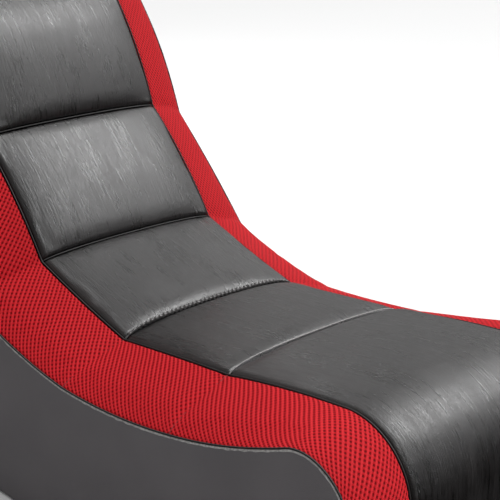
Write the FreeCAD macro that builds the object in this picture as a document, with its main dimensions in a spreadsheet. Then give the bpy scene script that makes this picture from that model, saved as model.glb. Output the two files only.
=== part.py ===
import FreeCAD, Part
import math
import os

from FreeCAD import Placement, Rotation, Vector

# Armless gaming rocker chair: one S-shaped upholstered shell that rocks on its own curved base.
# The seat faces -Y, +Z is up, +X is the sitter's left. Millimetres and degrees.
# Two plywood side boards joined by tenoned rails carry webbing, foam, seven channel cushions,
# two mesh side bands and the outer covers.

doc = FreeCAD.newDocument("gaming_rocker_chair")
sheet = doc.addObject("Spreadsheet::Sheet", "Dimensions")
sheet_rows = []


def dimension(alias, text):
    """Write one driving dimension into the sheet under its alias."""
    row = len(sheet_rows) + 1
    sheet.set("A%d" % row, alias)
    sheet.set("B%d" % row, text)
    sheet.setAlias("B%d" % row, alias)
    sheet_rows.append(alias)


# Widths across the chair
dimension("cushion_width", "262")
dimension("band_width", "84")
dimension("board_thickness", "15")
dimension("side_cover_thickness", "3")
dimension("back_cover_thickness", "2.5")
dimension("fit_gap", "0.3")

# The sitting line: length and rise of each channel from the seat seam
dimension("seam_height", "215")
dimension("seat_length", "169.4")
dimension("seat_rise", "4.1")
dimension("hip_length", "161.9")
dimension("hip_rise", "19.1")
dimension("lumbar_length", "170.3")
dimension("lumbar_rise", "49.8")
dimension("mid_back_length", "167.4")
dimension("mid_back_rise", "61.4")
dimension("shoulder_length", "135")
dimension("shoulder_rise", "67")
dimension("head_length", "45")
dimension("head_rise", "74")
dimension("head_roll_radius", "46")
dimension("nose_length", "166")
dimension("nose_rise", "6.4")
dimension("nose_radius", "76")
dimension("nose_face_length", "45")

# How far each channel bows out along its edge
dimension("seat_bow", "1")
dimension("hip_bow", "-2")
dimension("lumbar_bow", "6")
dimension("mid_back_bow", "8")
dimension("shoulder_bow", "5")
dimension("head_bow", "2")
dimension("nose_bow", "3")

# Upholstery form
dimension("cushion_depth", "36")
dimension("cushion_crown", "15")
dimension("channel_puff", "8")
dimension("seam_shoulder", "13")
dimension("core_thickness", "30")
dimension("band_swell", "5")
dimension("band_pinch", "2")
dimension("band_tuck", "8")

# Drop from the cushion edge to the side panel edge
dimension("back_drop", "54")
dimension("crease_drop", "45")
dimension("seat_drop", "33.5")
dimension("thigh_drop", "37.5")
dimension("head_drop", "34")
dimension("nose_drop", "10.5")
dimension("nose_hem_rise", "2.8")
dimension("head_hem_drop", "1")
dimension("lumbar_drop_swell", "3")
dimension("hip_drop_swell", "3")
dimension("seat_drop_swell", "6")
dimension("slope_drop_swell", "8")
dimension("nose_rise_swell", "6.5")

# Back and base outline
dimension("back_depth", "95")
dimension("lower_back_depth", "104")
dimension("heel_lean", "77")
dimension("heel_radius", "70")
dimension("spine_radius", "260")
dimension("toe_radius", "28")
dimension("rocker_radius", "850")
dimension("rocker_land", "70")
dimension("land_place", "62")
dimension("toe_reach", "330")
dimension("heel_reach", "118")

# Frame
dimension("rail_breadth", "55")
dimension("rail_thickness", "18")
dimension("tenon_breadth", "35")
dimension("tenon_thickness", "10")
dimension("tenon_setback", "1")
dimension("rail_relief", "1.9")
dimension("seam_relief", "1.7")
dimension("lightening_hole_radius", "32")
dimension("block_leg", "30")

# Webbing
dimension("strap_width", "50")
dimension("strap_thickness", "2")
dimension("strap_pitch", "80")

# Base
dimension("strip_thickness", "5")
dimension("strip_width", "18")
dimension("base_cover_thickness", "1.5")
dimension("base_cover_lift", "3")

# Zip closure
dimension("zip_length", "320")
dimension("zip_place", "150")
dimension("zip_gap", "11")
dimension("zip_tape_width", "13")
dimension("zip_tape_thickness", "1")
dimension("zip_row_width", "2.6")
dimension("zip_row_height", "2.4")
dimension("zip_slit", "1.4")
dimension("zip_stop_length", "4")
dimension("slider_length", "12")
dimension("slider_plate", "1.3")
dimension("slider_web", "0.7")
dimension("slider_flange", "0.8")
dimension("slide_gap", "0.35")
dimension("bail_radius", "0.7")
dimension("bail_height", "2.2")
dimension("bail_post", "1.4")
dimension("pull_length", "26")
dimension("pull_width", "8")
dimension("pull_neck", "4.6")
dimension("pull_thickness", "1.4")
dimension("pull_bore_gap", "0.3")
dimension("pull_wall", "0.8")
doc.recompute()


def size(alias):
    """Read one driving dimension back from the sheet."""
    return float(sheet.get(alias))


GAP = size("fit_gap")
CUSHION_HALF = size("cushion_width") / 2
HALF_WIDTH = CUSHION_HALF + size("band_width")
COVER_INNER = HALF_WIDTH - size("side_cover_thickness")
BOARD_OUTER = COVER_INNER - GAP
BOARD_INNER = BOARD_OUTER - size("board_thickness")


# Plane geometry of the side view: every point is (y, z)


def add(a, b, scale=1.0):
    return (a[0] + b[0] * scale, a[1] + b[1] * scale)


def heading(angle):
    """Unit direction at an angle in degrees above the +Y axis."""
    return (math.cos(math.radians(angle)), math.sin(math.radians(angle)))


def unit(a, b):
    """Unit direction from a to b."""
    length = math.hypot(b[0] - a[0], b[1] - a[1])
    return ((b[0] - a[0]) / length, (b[1] - a[1]) / length)


def meet(a, along_a, b, along_b):
    """Where the line from a along one direction meets the line from b along another."""
    cross = along_a[0] * along_b[1] - along_a[1] * along_b[0]
    reach = ((b[0] - a[0]) * along_b[1] - (b[1] - a[1]) * along_b[0]) / cross
    return add(a, along_a, reach)


def outward(along):
    """Normal that points to the sitter's side of a direction of travel down the sitting line."""
    return (along[1], -along[0])


def circle_through(a, b, c):
    """Centre of the circle through three points, or None where they lie in line."""
    twice = 2 * (a[0] * (b[1] - c[1]) + b[0] * (c[1] - a[1]) + c[0] * (a[1] - b[1]))
    if abs(twice) < 1e-6:
        return None
    squares = [p[0] ** 2 + p[1] ** 2 for p in (a, b, c)]
    y = squares[0] * (b[1] - c[1]) + squares[1] * (c[1] - a[1]) + squares[2] * (a[1] - b[1])
    z = squares[0] * (c[0] - b[0]) + squares[1] * (a[0] - c[0]) + squares[2] * (b[0] - a[0])
    return (y / twice, z / twice)


class Stretch:
    """One smooth stretch of the sitting line, an arc through its ends and its middle."""

    def __init__(self, start, middle, end, drop_start, drop_end, drop_swell=0.0):
        self.start, self.middle, self.end = start, middle, end
        self.drop_start, self.drop_end, self.drop_swell = drop_start, drop_end, drop_swell
        self.lean_start = self.lean_end = 0.0
        self.centre = circle_through(start, middle, end)
        if self.centre:
            angles = [math.atan2(p[1] - self.centre[1], p[0] - self.centre[0]) for p in (start, middle, end)]
            self.angle = angles[0]
            half = (angles[1] - angles[0] + math.pi) % (2 * math.pi) - math.pi
            self.sweep = 2 * half
            self.radius = math.hypot(start[0] - self.centre[0], start[1] - self.centre[1])

    def point(self, t):
        if not self.centre:
            return (
                self.start[0] + (self.end[0] - self.start[0]) * t,
                self.start[1] + (self.end[1] - self.start[1]) * t,
            )
        angle = self.angle + self.sweep * t
        return (self.centre[0] + self.radius * math.cos(angle), self.centre[1] + self.radius * math.sin(angle))

    def facing(self, t):
        """Angle of the outward normal, in radians, without the lean that neighbours share at a seam."""
        if not self.centre:
            normal = outward(unit(self.start, self.end))
            return math.atan2(normal[1], normal[0])
        angle = self.angle + self.sweep * t
        side = 1 if self.sweep > 0 else -1
        normal = outward((-math.sin(angle) * side, math.cos(angle) * side))
        return math.atan2(normal[1], normal[0])

    def normal(self, t):
        angle = self.facing(t) + self.lean_start * (1 - t) ** 3 + self.lean_end * t ** 3
        return (math.cos(angle), math.sin(angle))

    def off(self, t, height):
        """Point at a height over the sitting line."""
        return add(self.point(t), self.normal(t), height)

    def drop(self, t):
        return self.drop_start + (self.drop_end - self.drop_start) * t + self.drop_swell * 4 * t * (1 - t)

    def length(self):
        if not self.centre:
            return math.hypot(self.end[0] - self.start[0], self.end[1] - self.start[1])
        return abs(self.sweep) * self.radius


def bowed(start, end, bow):
    """Middle of a channel that bows out by the given height."""
    normal = outward(unit(start, end))
    middle = ((start[0] + end[0]) / 2, (start[1] + end[1]) / 2)
    return add(middle, normal, bow)


# Seams of the sitting line, from the seat seam at (0, 0)
seat_seam = (0.0, 0.0)
crease = add(seat_seam, heading(size("hip_rise")), size("hip_length"))
lumbar_seam = add(crease, heading(size("lumbar_rise")), size("lumbar_length"))
mid_seam = add(lumbar_seam, heading(size("mid_back_rise")), size("mid_back_length"))
shoulder_seam = add(mid_seam, heading(size("shoulder_rise")), size("shoulder_length"))
head_edge = add(shoulder_seam, heading(size("head_rise")), size("head_length"))
thigh_seam = add(seat_seam, heading(180 - size("seat_rise")), size("seat_length"))
nose_top = add(thigh_seam, heading(180 - size("nose_rise")), size("nose_length"))
nose_centre = add(nose_top, heading(-90), size("nose_radius"))
nose_front = add(nose_centre, heading(180), size("nose_radius"))
hem = add(nose_front, heading(-90), size("nose_face_length"))

# Head roll and the line down the back
roll_centre = add(head_edge, heading(size("head_rise") - 90), size("head_roll_radius"))


def seam_inward(before, seam, after):
    """Inward bisector at a seam between two channels, travelling down the line."""
    first = outward(unit(before, seam))
    second = outward(unit(seam, after))
    middle = (first[0] + second[0], first[1] + second[1])
    length = math.hypot(*middle)
    return (-middle[0] / length, -middle[1] / length)


upper_spine = add(mid_seam, seam_inward(shoulder_seam, mid_seam, lumbar_seam), size("back_depth"))
lower_spine = add(lumbar_seam, seam_inward(mid_seam, lumbar_seam, crease), size("lower_back_depth"))
spine_distance = math.hypot(upper_spine[0] - roll_centre[0], upper_spine[1] - roll_centre[1])
roll_exit = math.degrees(
    math.atan2(upper_spine[1] - roll_centre[1], upper_spine[0] - roll_centre[0])
    + math.acos(size("head_roll_radius") / spine_distance)
)
head_hem = add(roll_centre, heading(roll_exit), size("head_roll_radius"))
roll_entry = size("head_rise") + 90
roll_middle = (roll_entry + roll_exit) / 2
head_crest = add(roll_centre, heading(roll_middle), size("head_roll_radius"))
rear_quarter = add(roll_centre, heading((roll_middle + roll_exit) / 2), size("head_roll_radius"))
front_quarter = add(roll_centre, heading((roll_middle + roll_entry) / 2), size("head_roll_radius"))
nose_quarter = add(nose_centre, heading(135), size("nose_radius"))

crest_drop = (size("head_drop") + size("head_hem_drop")) / 2
roll_rear = Stretch(head_hem, rear_quarter, head_crest, size("head_hem_drop"), crest_drop)
roll_front = Stretch(head_crest, front_quarter, head_edge, crest_drop, size("head_drop"))
head_face = Stretch(
    head_edge, bowed(head_edge, shoulder_seam, size("head_bow")), shoulder_seam,
    size("head_drop"), size("back_drop"),
)
shoulder = Stretch(
    shoulder_seam, bowed(shoulder_seam, mid_seam, size("shoulder_bow")), mid_seam,
    size("back_drop"), size("back_drop"),
)
mid_back = Stretch(
    mid_seam, bowed(mid_seam, lumbar_seam, size("mid_back_bow")), lumbar_seam,
    size("back_drop"), size("back_drop"),
)
lumbar = Stretch(
    lumbar_seam, bowed(lumbar_seam, crease, size("lumbar_bow")), crease,
    size("back_drop"), size("crease_drop"), size("lumbar_drop_swell"),
)
hip = Stretch(
    crease, bowed(crease, seat_seam, size("hip_bow")), seat_seam,
    size("crease_drop"), size("seat_drop"), size("hip_drop_swell"),
)
seat = Stretch(
    seat_seam, bowed(seat_seam, thigh_seam, size("seat_bow")), thigh_seam,
    size("seat_drop"), size("thigh_drop"), size("seat_drop_swell"),
)
nose_slope = Stretch(
    thigh_seam, bowed(thigh_seam, nose_top, size("nose_bow")), nose_top,
    size("thigh_drop"), size("nose_drop"), size("slope_drop_swell"),
)
nose_round = Stretch(
    nose_top, nose_quarter, nose_front,
    size("nose_drop"), -size("nose_hem_rise"), -size("nose_rise_swell"),
)
nose_face = Stretch(
    nose_front, add(nose_front, heading(-90), size("nose_face_length") / 2), hem,
    -size("nose_hem_rise"), -size("nose_hem_rise"),
)

# Each channel is one cushion between two sewn seams
CHANNELS = (
    ("head_cushion", (roll_rear, roll_front, head_face)),
    ("shoulder_cushion", (shoulder,)),
    ("mid_back_cushion", (mid_back,)),
    ("lumbar_cushion", (lumbar,)),
    ("hip_cushion", (hip,)),
    ("seat_cushion", (seat,)),
    ("nose_cushion", (nose_slope, nose_round, nose_face)),
)
LINE = [stretch for name, stretches in CHANNELS for stretch in stretches]
for upper, lower in zip(LINE, LINE[1:]):
    turn = (lower.facing(0) - upper.facing(1) + math.pi) % (2 * math.pi) - math.pi
    upper.lean_end = turn / 2
    lower.lean_start = -turn / 2

# The base: two rocker arcs that run into a short flat land
FLOOR = -size("seam_height")
land_front = size("land_place") - size("rocker_land") / 2
land_rear = size("land_place") + size("rocker_land") / 2


def rocker(y, lift):
    """Point of the rocker line at y, raised off the floor side by the given lift."""
    radius = size("rocker_radius")
    if land_front <= y <= land_rear:
        return (y, FLOOR + lift)
    end = land_front if y < land_front else land_rear
    angle = math.asin((y - end) / radius)
    centre = (end, FLOOR + radius)
    return add(centre, (math.sin(angle), -math.cos(angle)), radius - lift)


def rocker_tangent(y):
    """Direction of the rocker line at y, towards +Y."""
    end = land_front if y < land_front else land_rear
    angle = math.asin((y - end) / size("rocker_radius"))
    return (math.cos(angle), math.sin(angle))


toe_start = land_front - size("toe_reach")
heel_start = land_rear + size("heel_reach")
heel_corner = meet(
    rocker(heel_start, 0), rocker_tangent(heel_start), lower_spine, heading(size("heel_lean") + 180)
)
toe_corner = meet(rocker(toe_start, 0), rocker_tangent(toe_start), hem, heading(-90))


# Sections in the side view


def arc_edge(a, b, c):
    """Edge through three (y, z) points: an arc, or a line where they lie in line."""
    if circle_through(a, b, c) is None:
        return Part.LineSegment(Vector(0, *a), Vector(0, *c))
    return Part.Arc(Vector(0, *a), Vector(0, *b), Vector(0, *c))


def line_edge(a, b):
    return Part.LineSegment(Vector(0, *a), Vector(0, *b))


def along_line(stretches, height_at, reverse=False):
    """Arcs that follow stretches of the sitting line at the height given for each stretch and place."""
    curves = []
    places = (1.0, 0.5, 0.0) if reverse else (0.0, 0.5, 1.0)
    for stretch in reversed(stretches) if reverse else stretches:
        curves.append(arc_edge(*[stretch.off(t, height_at(stretch, t)) for t in places]))
    return curves


def rounded(vertices, radii):
    """Lines through the vertices with a tangent arc at each inner one, no larger than its runs allow."""
    curves = []
    here = vertices[0]
    last = len(vertices) - 2
    for i, radius in enumerate(radii, 1):
        before, corner, after = vertices[i - 1:i + 2]
        back, ahead = unit(corner, before), unit(corner, after)
        half = math.acos(max(-1.0, min(1.0, back[0] * ahead[0] + back[1] * ahead[1]))) / 2
        room_back = math.dist(corner, before) * (1.0 if i == 1 else 0.5)
        room_ahead = math.dist(corner, after) * (1.0 if i == last else 0.5)
        radius = min(radius, 0.96 * min(room_back, room_ahead) * math.tan(half))
        reach = radius / math.tan(half)
        start, end = add(corner, back, reach), add(corner, ahead, reach)
        bisector = unit((0, 0), add(back, ahead))
        middle = add(corner, bisector, radius / math.sin(half) - radius)
        curves.append(line_edge(here, start))
        curves.append(arc_edge(start, middle, end))
        here = end
    curves.append(line_edge(here, vertices[-1]))
    return curves


def spine(inset):
    """Vertices and radii of the rear line from the heel to the head hem, inset into the shell."""
    lower_run = heading(size("heel_lean") + 180)
    inward = outward(lower_run)
    lower_point = add(lower_spine, inward, inset)
    middle_run = unit(upper_spine, lower_spine)
    middle_point = add(upper_spine, outward(middle_run), inset)
    upper_run = unit(head_hem, upper_spine)
    top = add(head_hem, outward(upper_run), inset)
    low = meet(lower_point, lower_run, middle_point, middle_run)
    high = meet(middle_point, middle_run, top, upper_run)
    radii = (size("heel_radius") - inset, size("spine_radius") + inset, size("spine_radius") - inset)
    return lower_point, lower_run, low, high, top, radii


def rear_curves(lift, inset):
    """From the rocker line at the heel start, round the heel and up the back to the head hem."""
    lower_point, lower_run, low, high, top, radii = spine(inset)
    start = rocker(heel_start, lift)
    heel = meet(start, rocker_tangent(heel_start), lower_point, lower_run)
    heel_round = size("heel_radius") - max(lift, inset)
    return rounded([start, heel, low, high, top], (heel_round,) + radii[1:])


def base_curves(lift):
    """The rocker line from the toe start over the land to the heel start."""
    front, rear = (toe_start + land_front) / 2, (heel_start + land_rear) / 2
    return [
        arc_edge(rocker(toe_start, lift), rocker(front, lift), rocker(land_front, lift)),
        line_edge(rocker(land_front, lift), rocker(land_rear, lift)),
        arc_edge(rocker(land_rear, lift), rocker(rear, lift), rocker(heel_start, lift)),
    ]


def toe_curves(lift, inset):
    """From the nose hem down the front and round the toe to the rocker line."""
    start = (hem[0] + inset, hem[1])
    corner = meet(start, (0.0, -1.0), rocker(toe_start, lift), rocker_tangent(toe_start))
    radius = size("toe_radius") - max(lift, inset)
    return rounded([start, corner, rocker(toe_start, lift)], (radius,))


def turned_back(curves):
    """The same chain of curves, travelled the other way."""
    back = []
    for curve in reversed(curves):
        low, high = curve.FirstParameter, curve.LastParameter
        points = [curve.value(u) for u in (high, (low + high) / 2, low)]
        back.append(arc_edge(*[(p.y, p.z) for p in points]))
    return back


def ends(curves):
    """First and last (y, z) points of a chain of curves."""
    first, last = curves[0], curves[-1]
    start, end = first.value(first.FirstParameter), last.value(last.LastParameter)
    return (start.y, start.z), (end.y, end.z)


def closed(*chains):
    """Chains of curves joined into one closed run by straight lines where they don't meet."""
    run = []
    for chain in chains:
        if run:
            gap_start, gap_end = ends(run)[1], ends(chain)[0]
            if math.hypot(gap_end[0] - gap_start[0], gap_end[1] - gap_start[1]) > 1e-6:
                run.append(line_edge(gap_start, gap_end))
        run.extend(chain)
    first, last = ends(run)
    if math.hypot(first[0] - last[0], first[1] - last[1]) > 1e-6:
        run.append(line_edge(last, first))
    return run


def shell_outline(top_inset, lift, rear_inset):
    """Closed side outline under the band edge, over the rocker line and inside the rear line."""
    upper = along_line(LINE, lambda stretch, t: -stretch.drop(t) - top_inset)
    front_inset = top_inset - size("nose_hem_rise")
    return closed(upper, toe_curves(lift, front_inset), base_curves(lift), rear_curves(lift, rear_inset))


# Cushion sections


def fullness(u, power):
    """How full the stuffing stands at a share u of the half width, drawn in to nothing at the side."""
    return max(0.0, 1.0 - u * u) ** power


def fade(stretch, t):
    """The head roll and the nose draw in to nothing at their hems, within a seam shoulder."""
    shoulder_run = size("seam_shoulder")
    if stretch is roll_rear:
        return min(1.0, t * stretch.length() / shoulder_run)
    if stretch is nose_face:
        return min(1.0, 0.3 + (1 - t) * stretch.length() / shoulder_run)
    return 1.0


def channel_places(stretches):
    """Places along a channel with their share of the puff: sewn ends, soft shoulders, full middle."""
    first, last = stretches[0], stretches[-1]
    e0, e1 = GAP / 2 / first.length(), GAP / 2 / last.length()
    d0, d1 = size("seam_shoulder") / first.length(), size("seam_shoulder") / last.length()
    full = 0.78 if len(stretches) == 1 else 1.0
    places = [(first, e0, 0.0), (first, e0 + d0 * 0.45, 0.6 * full), (first, e0 + d0, full)]
    if len(stretches) == 1:
        places.append((first, 0.5, 1.0))
    else:
        places.append((first, (e0 + d0 + 1) / 2, 1.0))
        places.append((first, 1.0, 1.0))
        for stretch in stretches[1:-1]:
            places.append((stretch, 0.5, 1.0))
            places.append((stretch, 1.0, 1.0))
        places.append((last, (1 - e1 - d1) / 2, 1.0))
    places += [(last, 1 - e1 - d1, full), (last, 1 - e1 - d1 * 0.45, 0.6 * full), (last, 1 - e1, 0.0)]
    return places


def cushion_section(stretches, u):
    """Closed (y, z) section of a channel cushion at a share u of its half width."""
    crown = size("cushion_crown") * fullness(u, 0.6)
    puff = size("channel_puff") * fullness(u, 0.4)
    points = [
        stretch.off(t, (crown + puff * share) * fade(stretch, t))
        for stretch, t, share in channel_places(stretches)
    ]
    curves = [arc_edge(*points[i:i + 3]) for i in range(0, len(points) - 2, 2)]
    depth = -size("cushion_depth")
    e0 = GAP / 2 / stretches[0].length()
    e1 = GAP / 2 / stretches[-1].length()
    inner = []
    for stretch in reversed(stretches):
        low = e0 if stretch is stretches[0] else 0.0
        high = 1 - e1 if stretch is stretches[-1] else 1.0
        inner.append(arc_edge(*[stretch.off(t, depth) for t in (high, (low + high) / 2, low)]))
    return closed(curves, inner)


# The origin lies under the middle of the whole chair, on the floor
def extent(curves):
    box = Part.Wire([curve.toShape() for curve in curves]).BoundBox
    return box.YMin, box.YMax


front_reach = extent(cushion_section((nose_slope, nose_round, nose_face), 0.0))[0]
rear_reach = max(
    extent(cushion_section((roll_rear, roll_front, head_face), 0.0))[1], extent(rear_curves(0, 0))[1]
)
ORIGIN = Vector(0, -(front_reach + rear_reach) / 2, -FLOOR)

NODES = []


def keep(obj, label, placement=None):
    """Name a finished sub-part and set it in the chair's frame."""
    obj.Label = label
    if placement is not None:
        obj.Placement = placement
    NODES.append(obj)
    return obj


def in_frame(shift=Vector(0, 0, 0), rotation=Rotation()):
    return Placement(ORIGIN + shift, rotation)


def mirrored(source, label):
    """The left-hand twin of a right-hand piece."""
    twin = doc.addObject("Part::Mirroring", label)
    twin.Source = source
    twin.Normal = Vector(1, 0, 0)
    twin.Base = Vector(0, 0, 0)
    return keep(twin, label)


def origin_plane(body, role):
    return [feature for feature in body.Origin.OriginFeatures if feature.Role == role][0]


def side_sketch(body, curves, name):
    """Sketch of curves in the side view, on the body's own YZ plane."""
    sketch = body.newObject("Sketcher::SketchObject", name)
    sketch.AttachmentSupport = [(origin_plane(body, "YZ_Plane"), "")]
    sketch.MapMode = "FlatFace"
    for curve in curves:
        if isinstance(curve, Part.LineSegment):
            flat = Part.LineSegment(*[Vector(p.y, p.z, 0) for p in (curve.StartPoint, curve.EndPoint)])
        else:
            low, high = curve.FirstParameter, curve.LastParameter
            flat = Part.Arc(*[Vector(p.y, p.z, 0) for p in map(curve.value, (low, (low + high) / 2, high))])
        sketch.addGeometry(flat, False)
    return sketch


def padded_body(label, curves, length, symmetric=False):
    """A body padded along X from a side-view outline; the length is an expression on the sheet."""
    body = doc.addObject("PartDesign::Body", label)
    sketch = side_sketch(body, curves, label + "_outline")
    pad = body.newObject("PartDesign::Pad", label + "_pad")
    pad.Profile = sketch
    pad.SideType = "Symmetric" if symmetric else "One side"
    pad.setExpression("Length", length)
    return body


WIDTH = "Dimensions.cushion_width"
COVER_SPAN = "(%s + 2 * Dimensions.band_width - 2 * Dimensions.side_cover_thickness)" % WIDTH
BOARD_SPAN = "(%s - 2 * Dimensions.fit_gap)" % COVER_SPAN
RAIL_SPAN = "(%s - 2 * Dimensions.board_thickness)" % BOARD_SPAN
STRIP_SPAN = "(%s - 2 * Dimensions.strip_width - 2 * Dimensions.fit_gap)" % BOARD_SPAN

# Channel cushions
for channel_name, stretches in CHANNELS:
    wires = []
    steps = 8 if len(stretches) == 1 else 6
    for u in [math.cos(math.pi * i / steps) for i in range(steps + 1)]:
        edges = [curve.toShape() for curve in cushion_section(stretches, abs(u))]
        wire = Part.Wire(edges)
        wire.translate(Vector(u * (CUSHION_HALF - GAP / 2), 0, 0))
        wires.append(wire)
    cushion = doc.addObject("Part::Feature", channel_name)
    cushion.Shape = Part.makeLoft(wires, True, True)
    keep(cushion, channel_name, in_frame())

# Mesh side bands, one lofted span per channel, pinched where the cross seams run


def band_section(stretch, t, pinch):
    """Closed section across the band at a place on the line, on the right-hand side."""
    drop = stretch.drop(t)
    swell = size("band_swell") - size("band_pinch") * pinch
    inner, outer = -(CUSHION_HALF + GAP / 2), -HALF_WIDTH
    tuck = -(COVER_INNER - GAP)
    rim = -(BOARD_INNER + GAP)
    foot = drop + size("band_tuck")

    def at(x, height):
        y, z = stretch.off(t, height)
        return Vector(x, y, z)

    crest = at((inner + outer) / 2, swell - drop / 2)
    corners = [
        at(outer, -drop), at(tuck, -drop - GAP), at(tuck, -foot), at(rim, -foot),
        at(inner, -size("cushion_depth")), at(inner, 0),
    ]
    edges = [Part.Arc(corners[-1], crest, corners[0]).toShape()]
    edges += [Part.LineSegment(a, b).toShape() for a, b in zip(corners, corners[1:])]
    return Part.Wire(edges)


def band_spans():
    """Lofted spans of the band from the head hem to the nose hem."""
    spans = []
    for name, stretches in CHANNELS:
        first, last = stretches[0], stretches[-1]
        places = [(first, 0.0, 1.0), (first, 0.09, 0.2)]
        if len(stretches) == 1:
            places.append((first, 0.5, 0.0))
        else:
            places += [(first, t, 0.0) for t in (0.3, 0.53, 0.76, 1.0)]
            for stretch in stretches[1:-1]:
                places += [(stretch, i / 6, 0.0) for i in range(1, 7)]
            places.append((last, 0.5, 0.0))
        places += [(last, 0.91, 0.2), (last, 1.0, 1.0)]
        spans.append(Part.makeLoft([band_section(*place) for place in places], True, True))
    return spans


spans = band_spans()
band = doc.addObject("Part::Feature", "mesh_band_right")
band.Shape = spans[0].fuse(spans[1:])
keep(band, "mesh_band_right", in_frame())
mirrored(band, "mesh_band_left")

# Side covers: smooth vinyl panels over the boards
side_cover = padded_body(
    "side_cover_right",
    shell_outline(GAP + size("seam_relief"), size("base_cover_lift") - 1, 0.0),
    "Dimensions.side_cover_thickness",
)
keep(side_cover, "side_cover_right", in_frame(Vector(-HALF_WIDTH, 0, 0)))
mirrored(side_cover, "side_cover_left")

# Frame rails: boxes with a long thin tenon at each end
RAIL_DEPTH = (
    size("cushion_depth") + size("core_thickness") + size("strap_thickness")
    + 2 * GAP + size("rail_thickness") / 2 + size("rail_relief")
)
FRAME_PLACES = []


def rail(label, centre, facing):
    """A cross rail whose flat faces the direction given in degrees, tenoned through both boards."""
    beam = doc.addObject("Part::Box", label + "_beam")
    beam.setExpression("Length", RAIL_SPAN)
    beam.setExpression("Width", "Dimensions.rail_breadth")
    beam.setExpression("Height", "Dimensions.rail_thickness")
    beam.setExpression(".Placement.Base.x", "-%s / 2" % RAIL_SPAN)
    beam.setExpression(".Placement.Base.y", "-Dimensions.rail_breadth / 2")
    beam.setExpression(".Placement.Base.z", "-Dimensions.rail_thickness / 2")
    tenon = doc.addObject("Part::Box", label + "_tenon")
    tenon.setExpression("Length", "%s - 2 * Dimensions.tenon_setback" % BOARD_SPAN)
    tenon.setExpression("Width", "Dimensions.tenon_breadth")
    tenon.setExpression("Height", "Dimensions.tenon_thickness")
    tenon.setExpression(".Placement.Base.x", "-%s / 2 + Dimensions.tenon_setback" % BOARD_SPAN)
    tenon.setExpression(".Placement.Base.y", "-Dimensions.tenon_breadth / 2")
    tenon.setExpression(".Placement.Base.z", "-Dimensions.tenon_thickness / 2")
    joined = doc.addObject("Part::Fuse", label)
    joined.Base, joined.Tool = beam, tenon
    turn = Rotation(Vector(1, 0, 0), facing - 90)
    keep(joined, label, in_frame(Vector(0, *centre), turn))
    FRAME_PLACES.append((label, centre, facing))


def rail_under(label, stretch, t, depth=RAIL_DEPTH):
    """A rail at a depth under the sitting line, its flat square to the chord over its own breadth."""
    reach = size("rail_breadth") / 2 / stretch.length()
    along = unit(stretch.off(t - reach, -depth), stretch.off(t + reach, -depth))
    facing = outward(along)
    rail(label, stretch.off(t, -depth), math.degrees(math.atan2(facing[1], facing[0])))


def rail_over(label, point, along, depth):
    """A rail that lies inside a point of the outline, square to its direction of travel."""
    inward = (-along[1], along[0])
    rail(label, add(point, inward, depth), math.degrees(math.atan2(inward[1], inward[0])))


BASE_RAIL_LIFT = (
    size("base_cover_lift") + size("base_cover_thickness") + GAP + size("rail_thickness") / 2
    + size("rail_relief")
)
heel_up = heading(size("heel_lean"))
rail_under("head_rail", shoulder, 0.36)
rail_under("shoulder_rail", mid_back, 0.2)
rail_under("mid_back_rail", mid_back, 0.8)
rail_under("lumbar_rail", lumbar, 0.5)
rail_under("rear_seat_rail", hip, 0.34)
rail_under("front_seat_rail", nose_slope, 0.35)
rail_under("toe_rail", nose_face, 0.66, size("cushion_depth") + GAP + size("rail_thickness") / 2)
base_front = toe_start + size("rail_breadth")
base_rear = heel_start - size("rail_breadth") / 2
rail_over("base_front_rail", rocker(base_front, 0), rocker_tangent(base_front), BASE_RAIL_LIFT)
rail_over("base_rear_rail", rocker(base_rear, 0), rocker_tangent(base_rear), BASE_RAIL_LIFT)
heel_mark = add(heel_corner, heel_up, size("heel_radius") + size("rail_breadth") / 2)
rail_over(
    "heel_rail", heel_mark, heel_up,
    size("back_cover_thickness") + GAP + size("rail_thickness") / 2,
)

# Side boards: plywood profiles with mortises and lightening holes


def turned_box(centre, facing, breadth, thickness):
    """Rectangle of lines about a centre, its flat facing the direction given in degrees."""
    across, along = heading(facing), heading(facing - 90)
    corners = [
        add(add(centre, along, i * breadth / 2), across, j * thickness / 2)
        for i, j in ((1, 1), (-1, 1), (-1, -1), (1, -1))
    ]
    return [line_edge(a, b) for a, b in zip(corners, corners[1:] + corners[:1])]


def pocket_through(body, sketch, label):
    """Cut a sketch through the body and prove that material went."""
    doc.recompute()
    before = body.Shape.Volume
    pocket = body.newObject("PartDesign::Pocket", label)
    pocket.Profile = sketch
    pocket.Type = "ThroughAll"
    doc.recompute()
    if not body.Shape.Volume < before - 1:
        pocket.Reversed = True
        doc.recompute()
    if not body.Shape.Volume < before - 1:
        raise RuntimeError(label + " cut nothing")
    return pocket


BLOCK_RAILS = ("rear_seat_rail", "front_seat_rail", "base_front_rail", "base_rear_rail")
BLOCK_SPOTS = []
for label, centre, facing in FRAME_PLACES:
    if label in BLOCK_RAILS:
        inside = facing if label.startswith("base") else facing + 180
        face = add(centre, heading(inside), size("rail_thickness") / 2)
        BLOCK_SPOTS.append((face, inside))
block_length = size("rail_breadth") - 12

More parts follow.
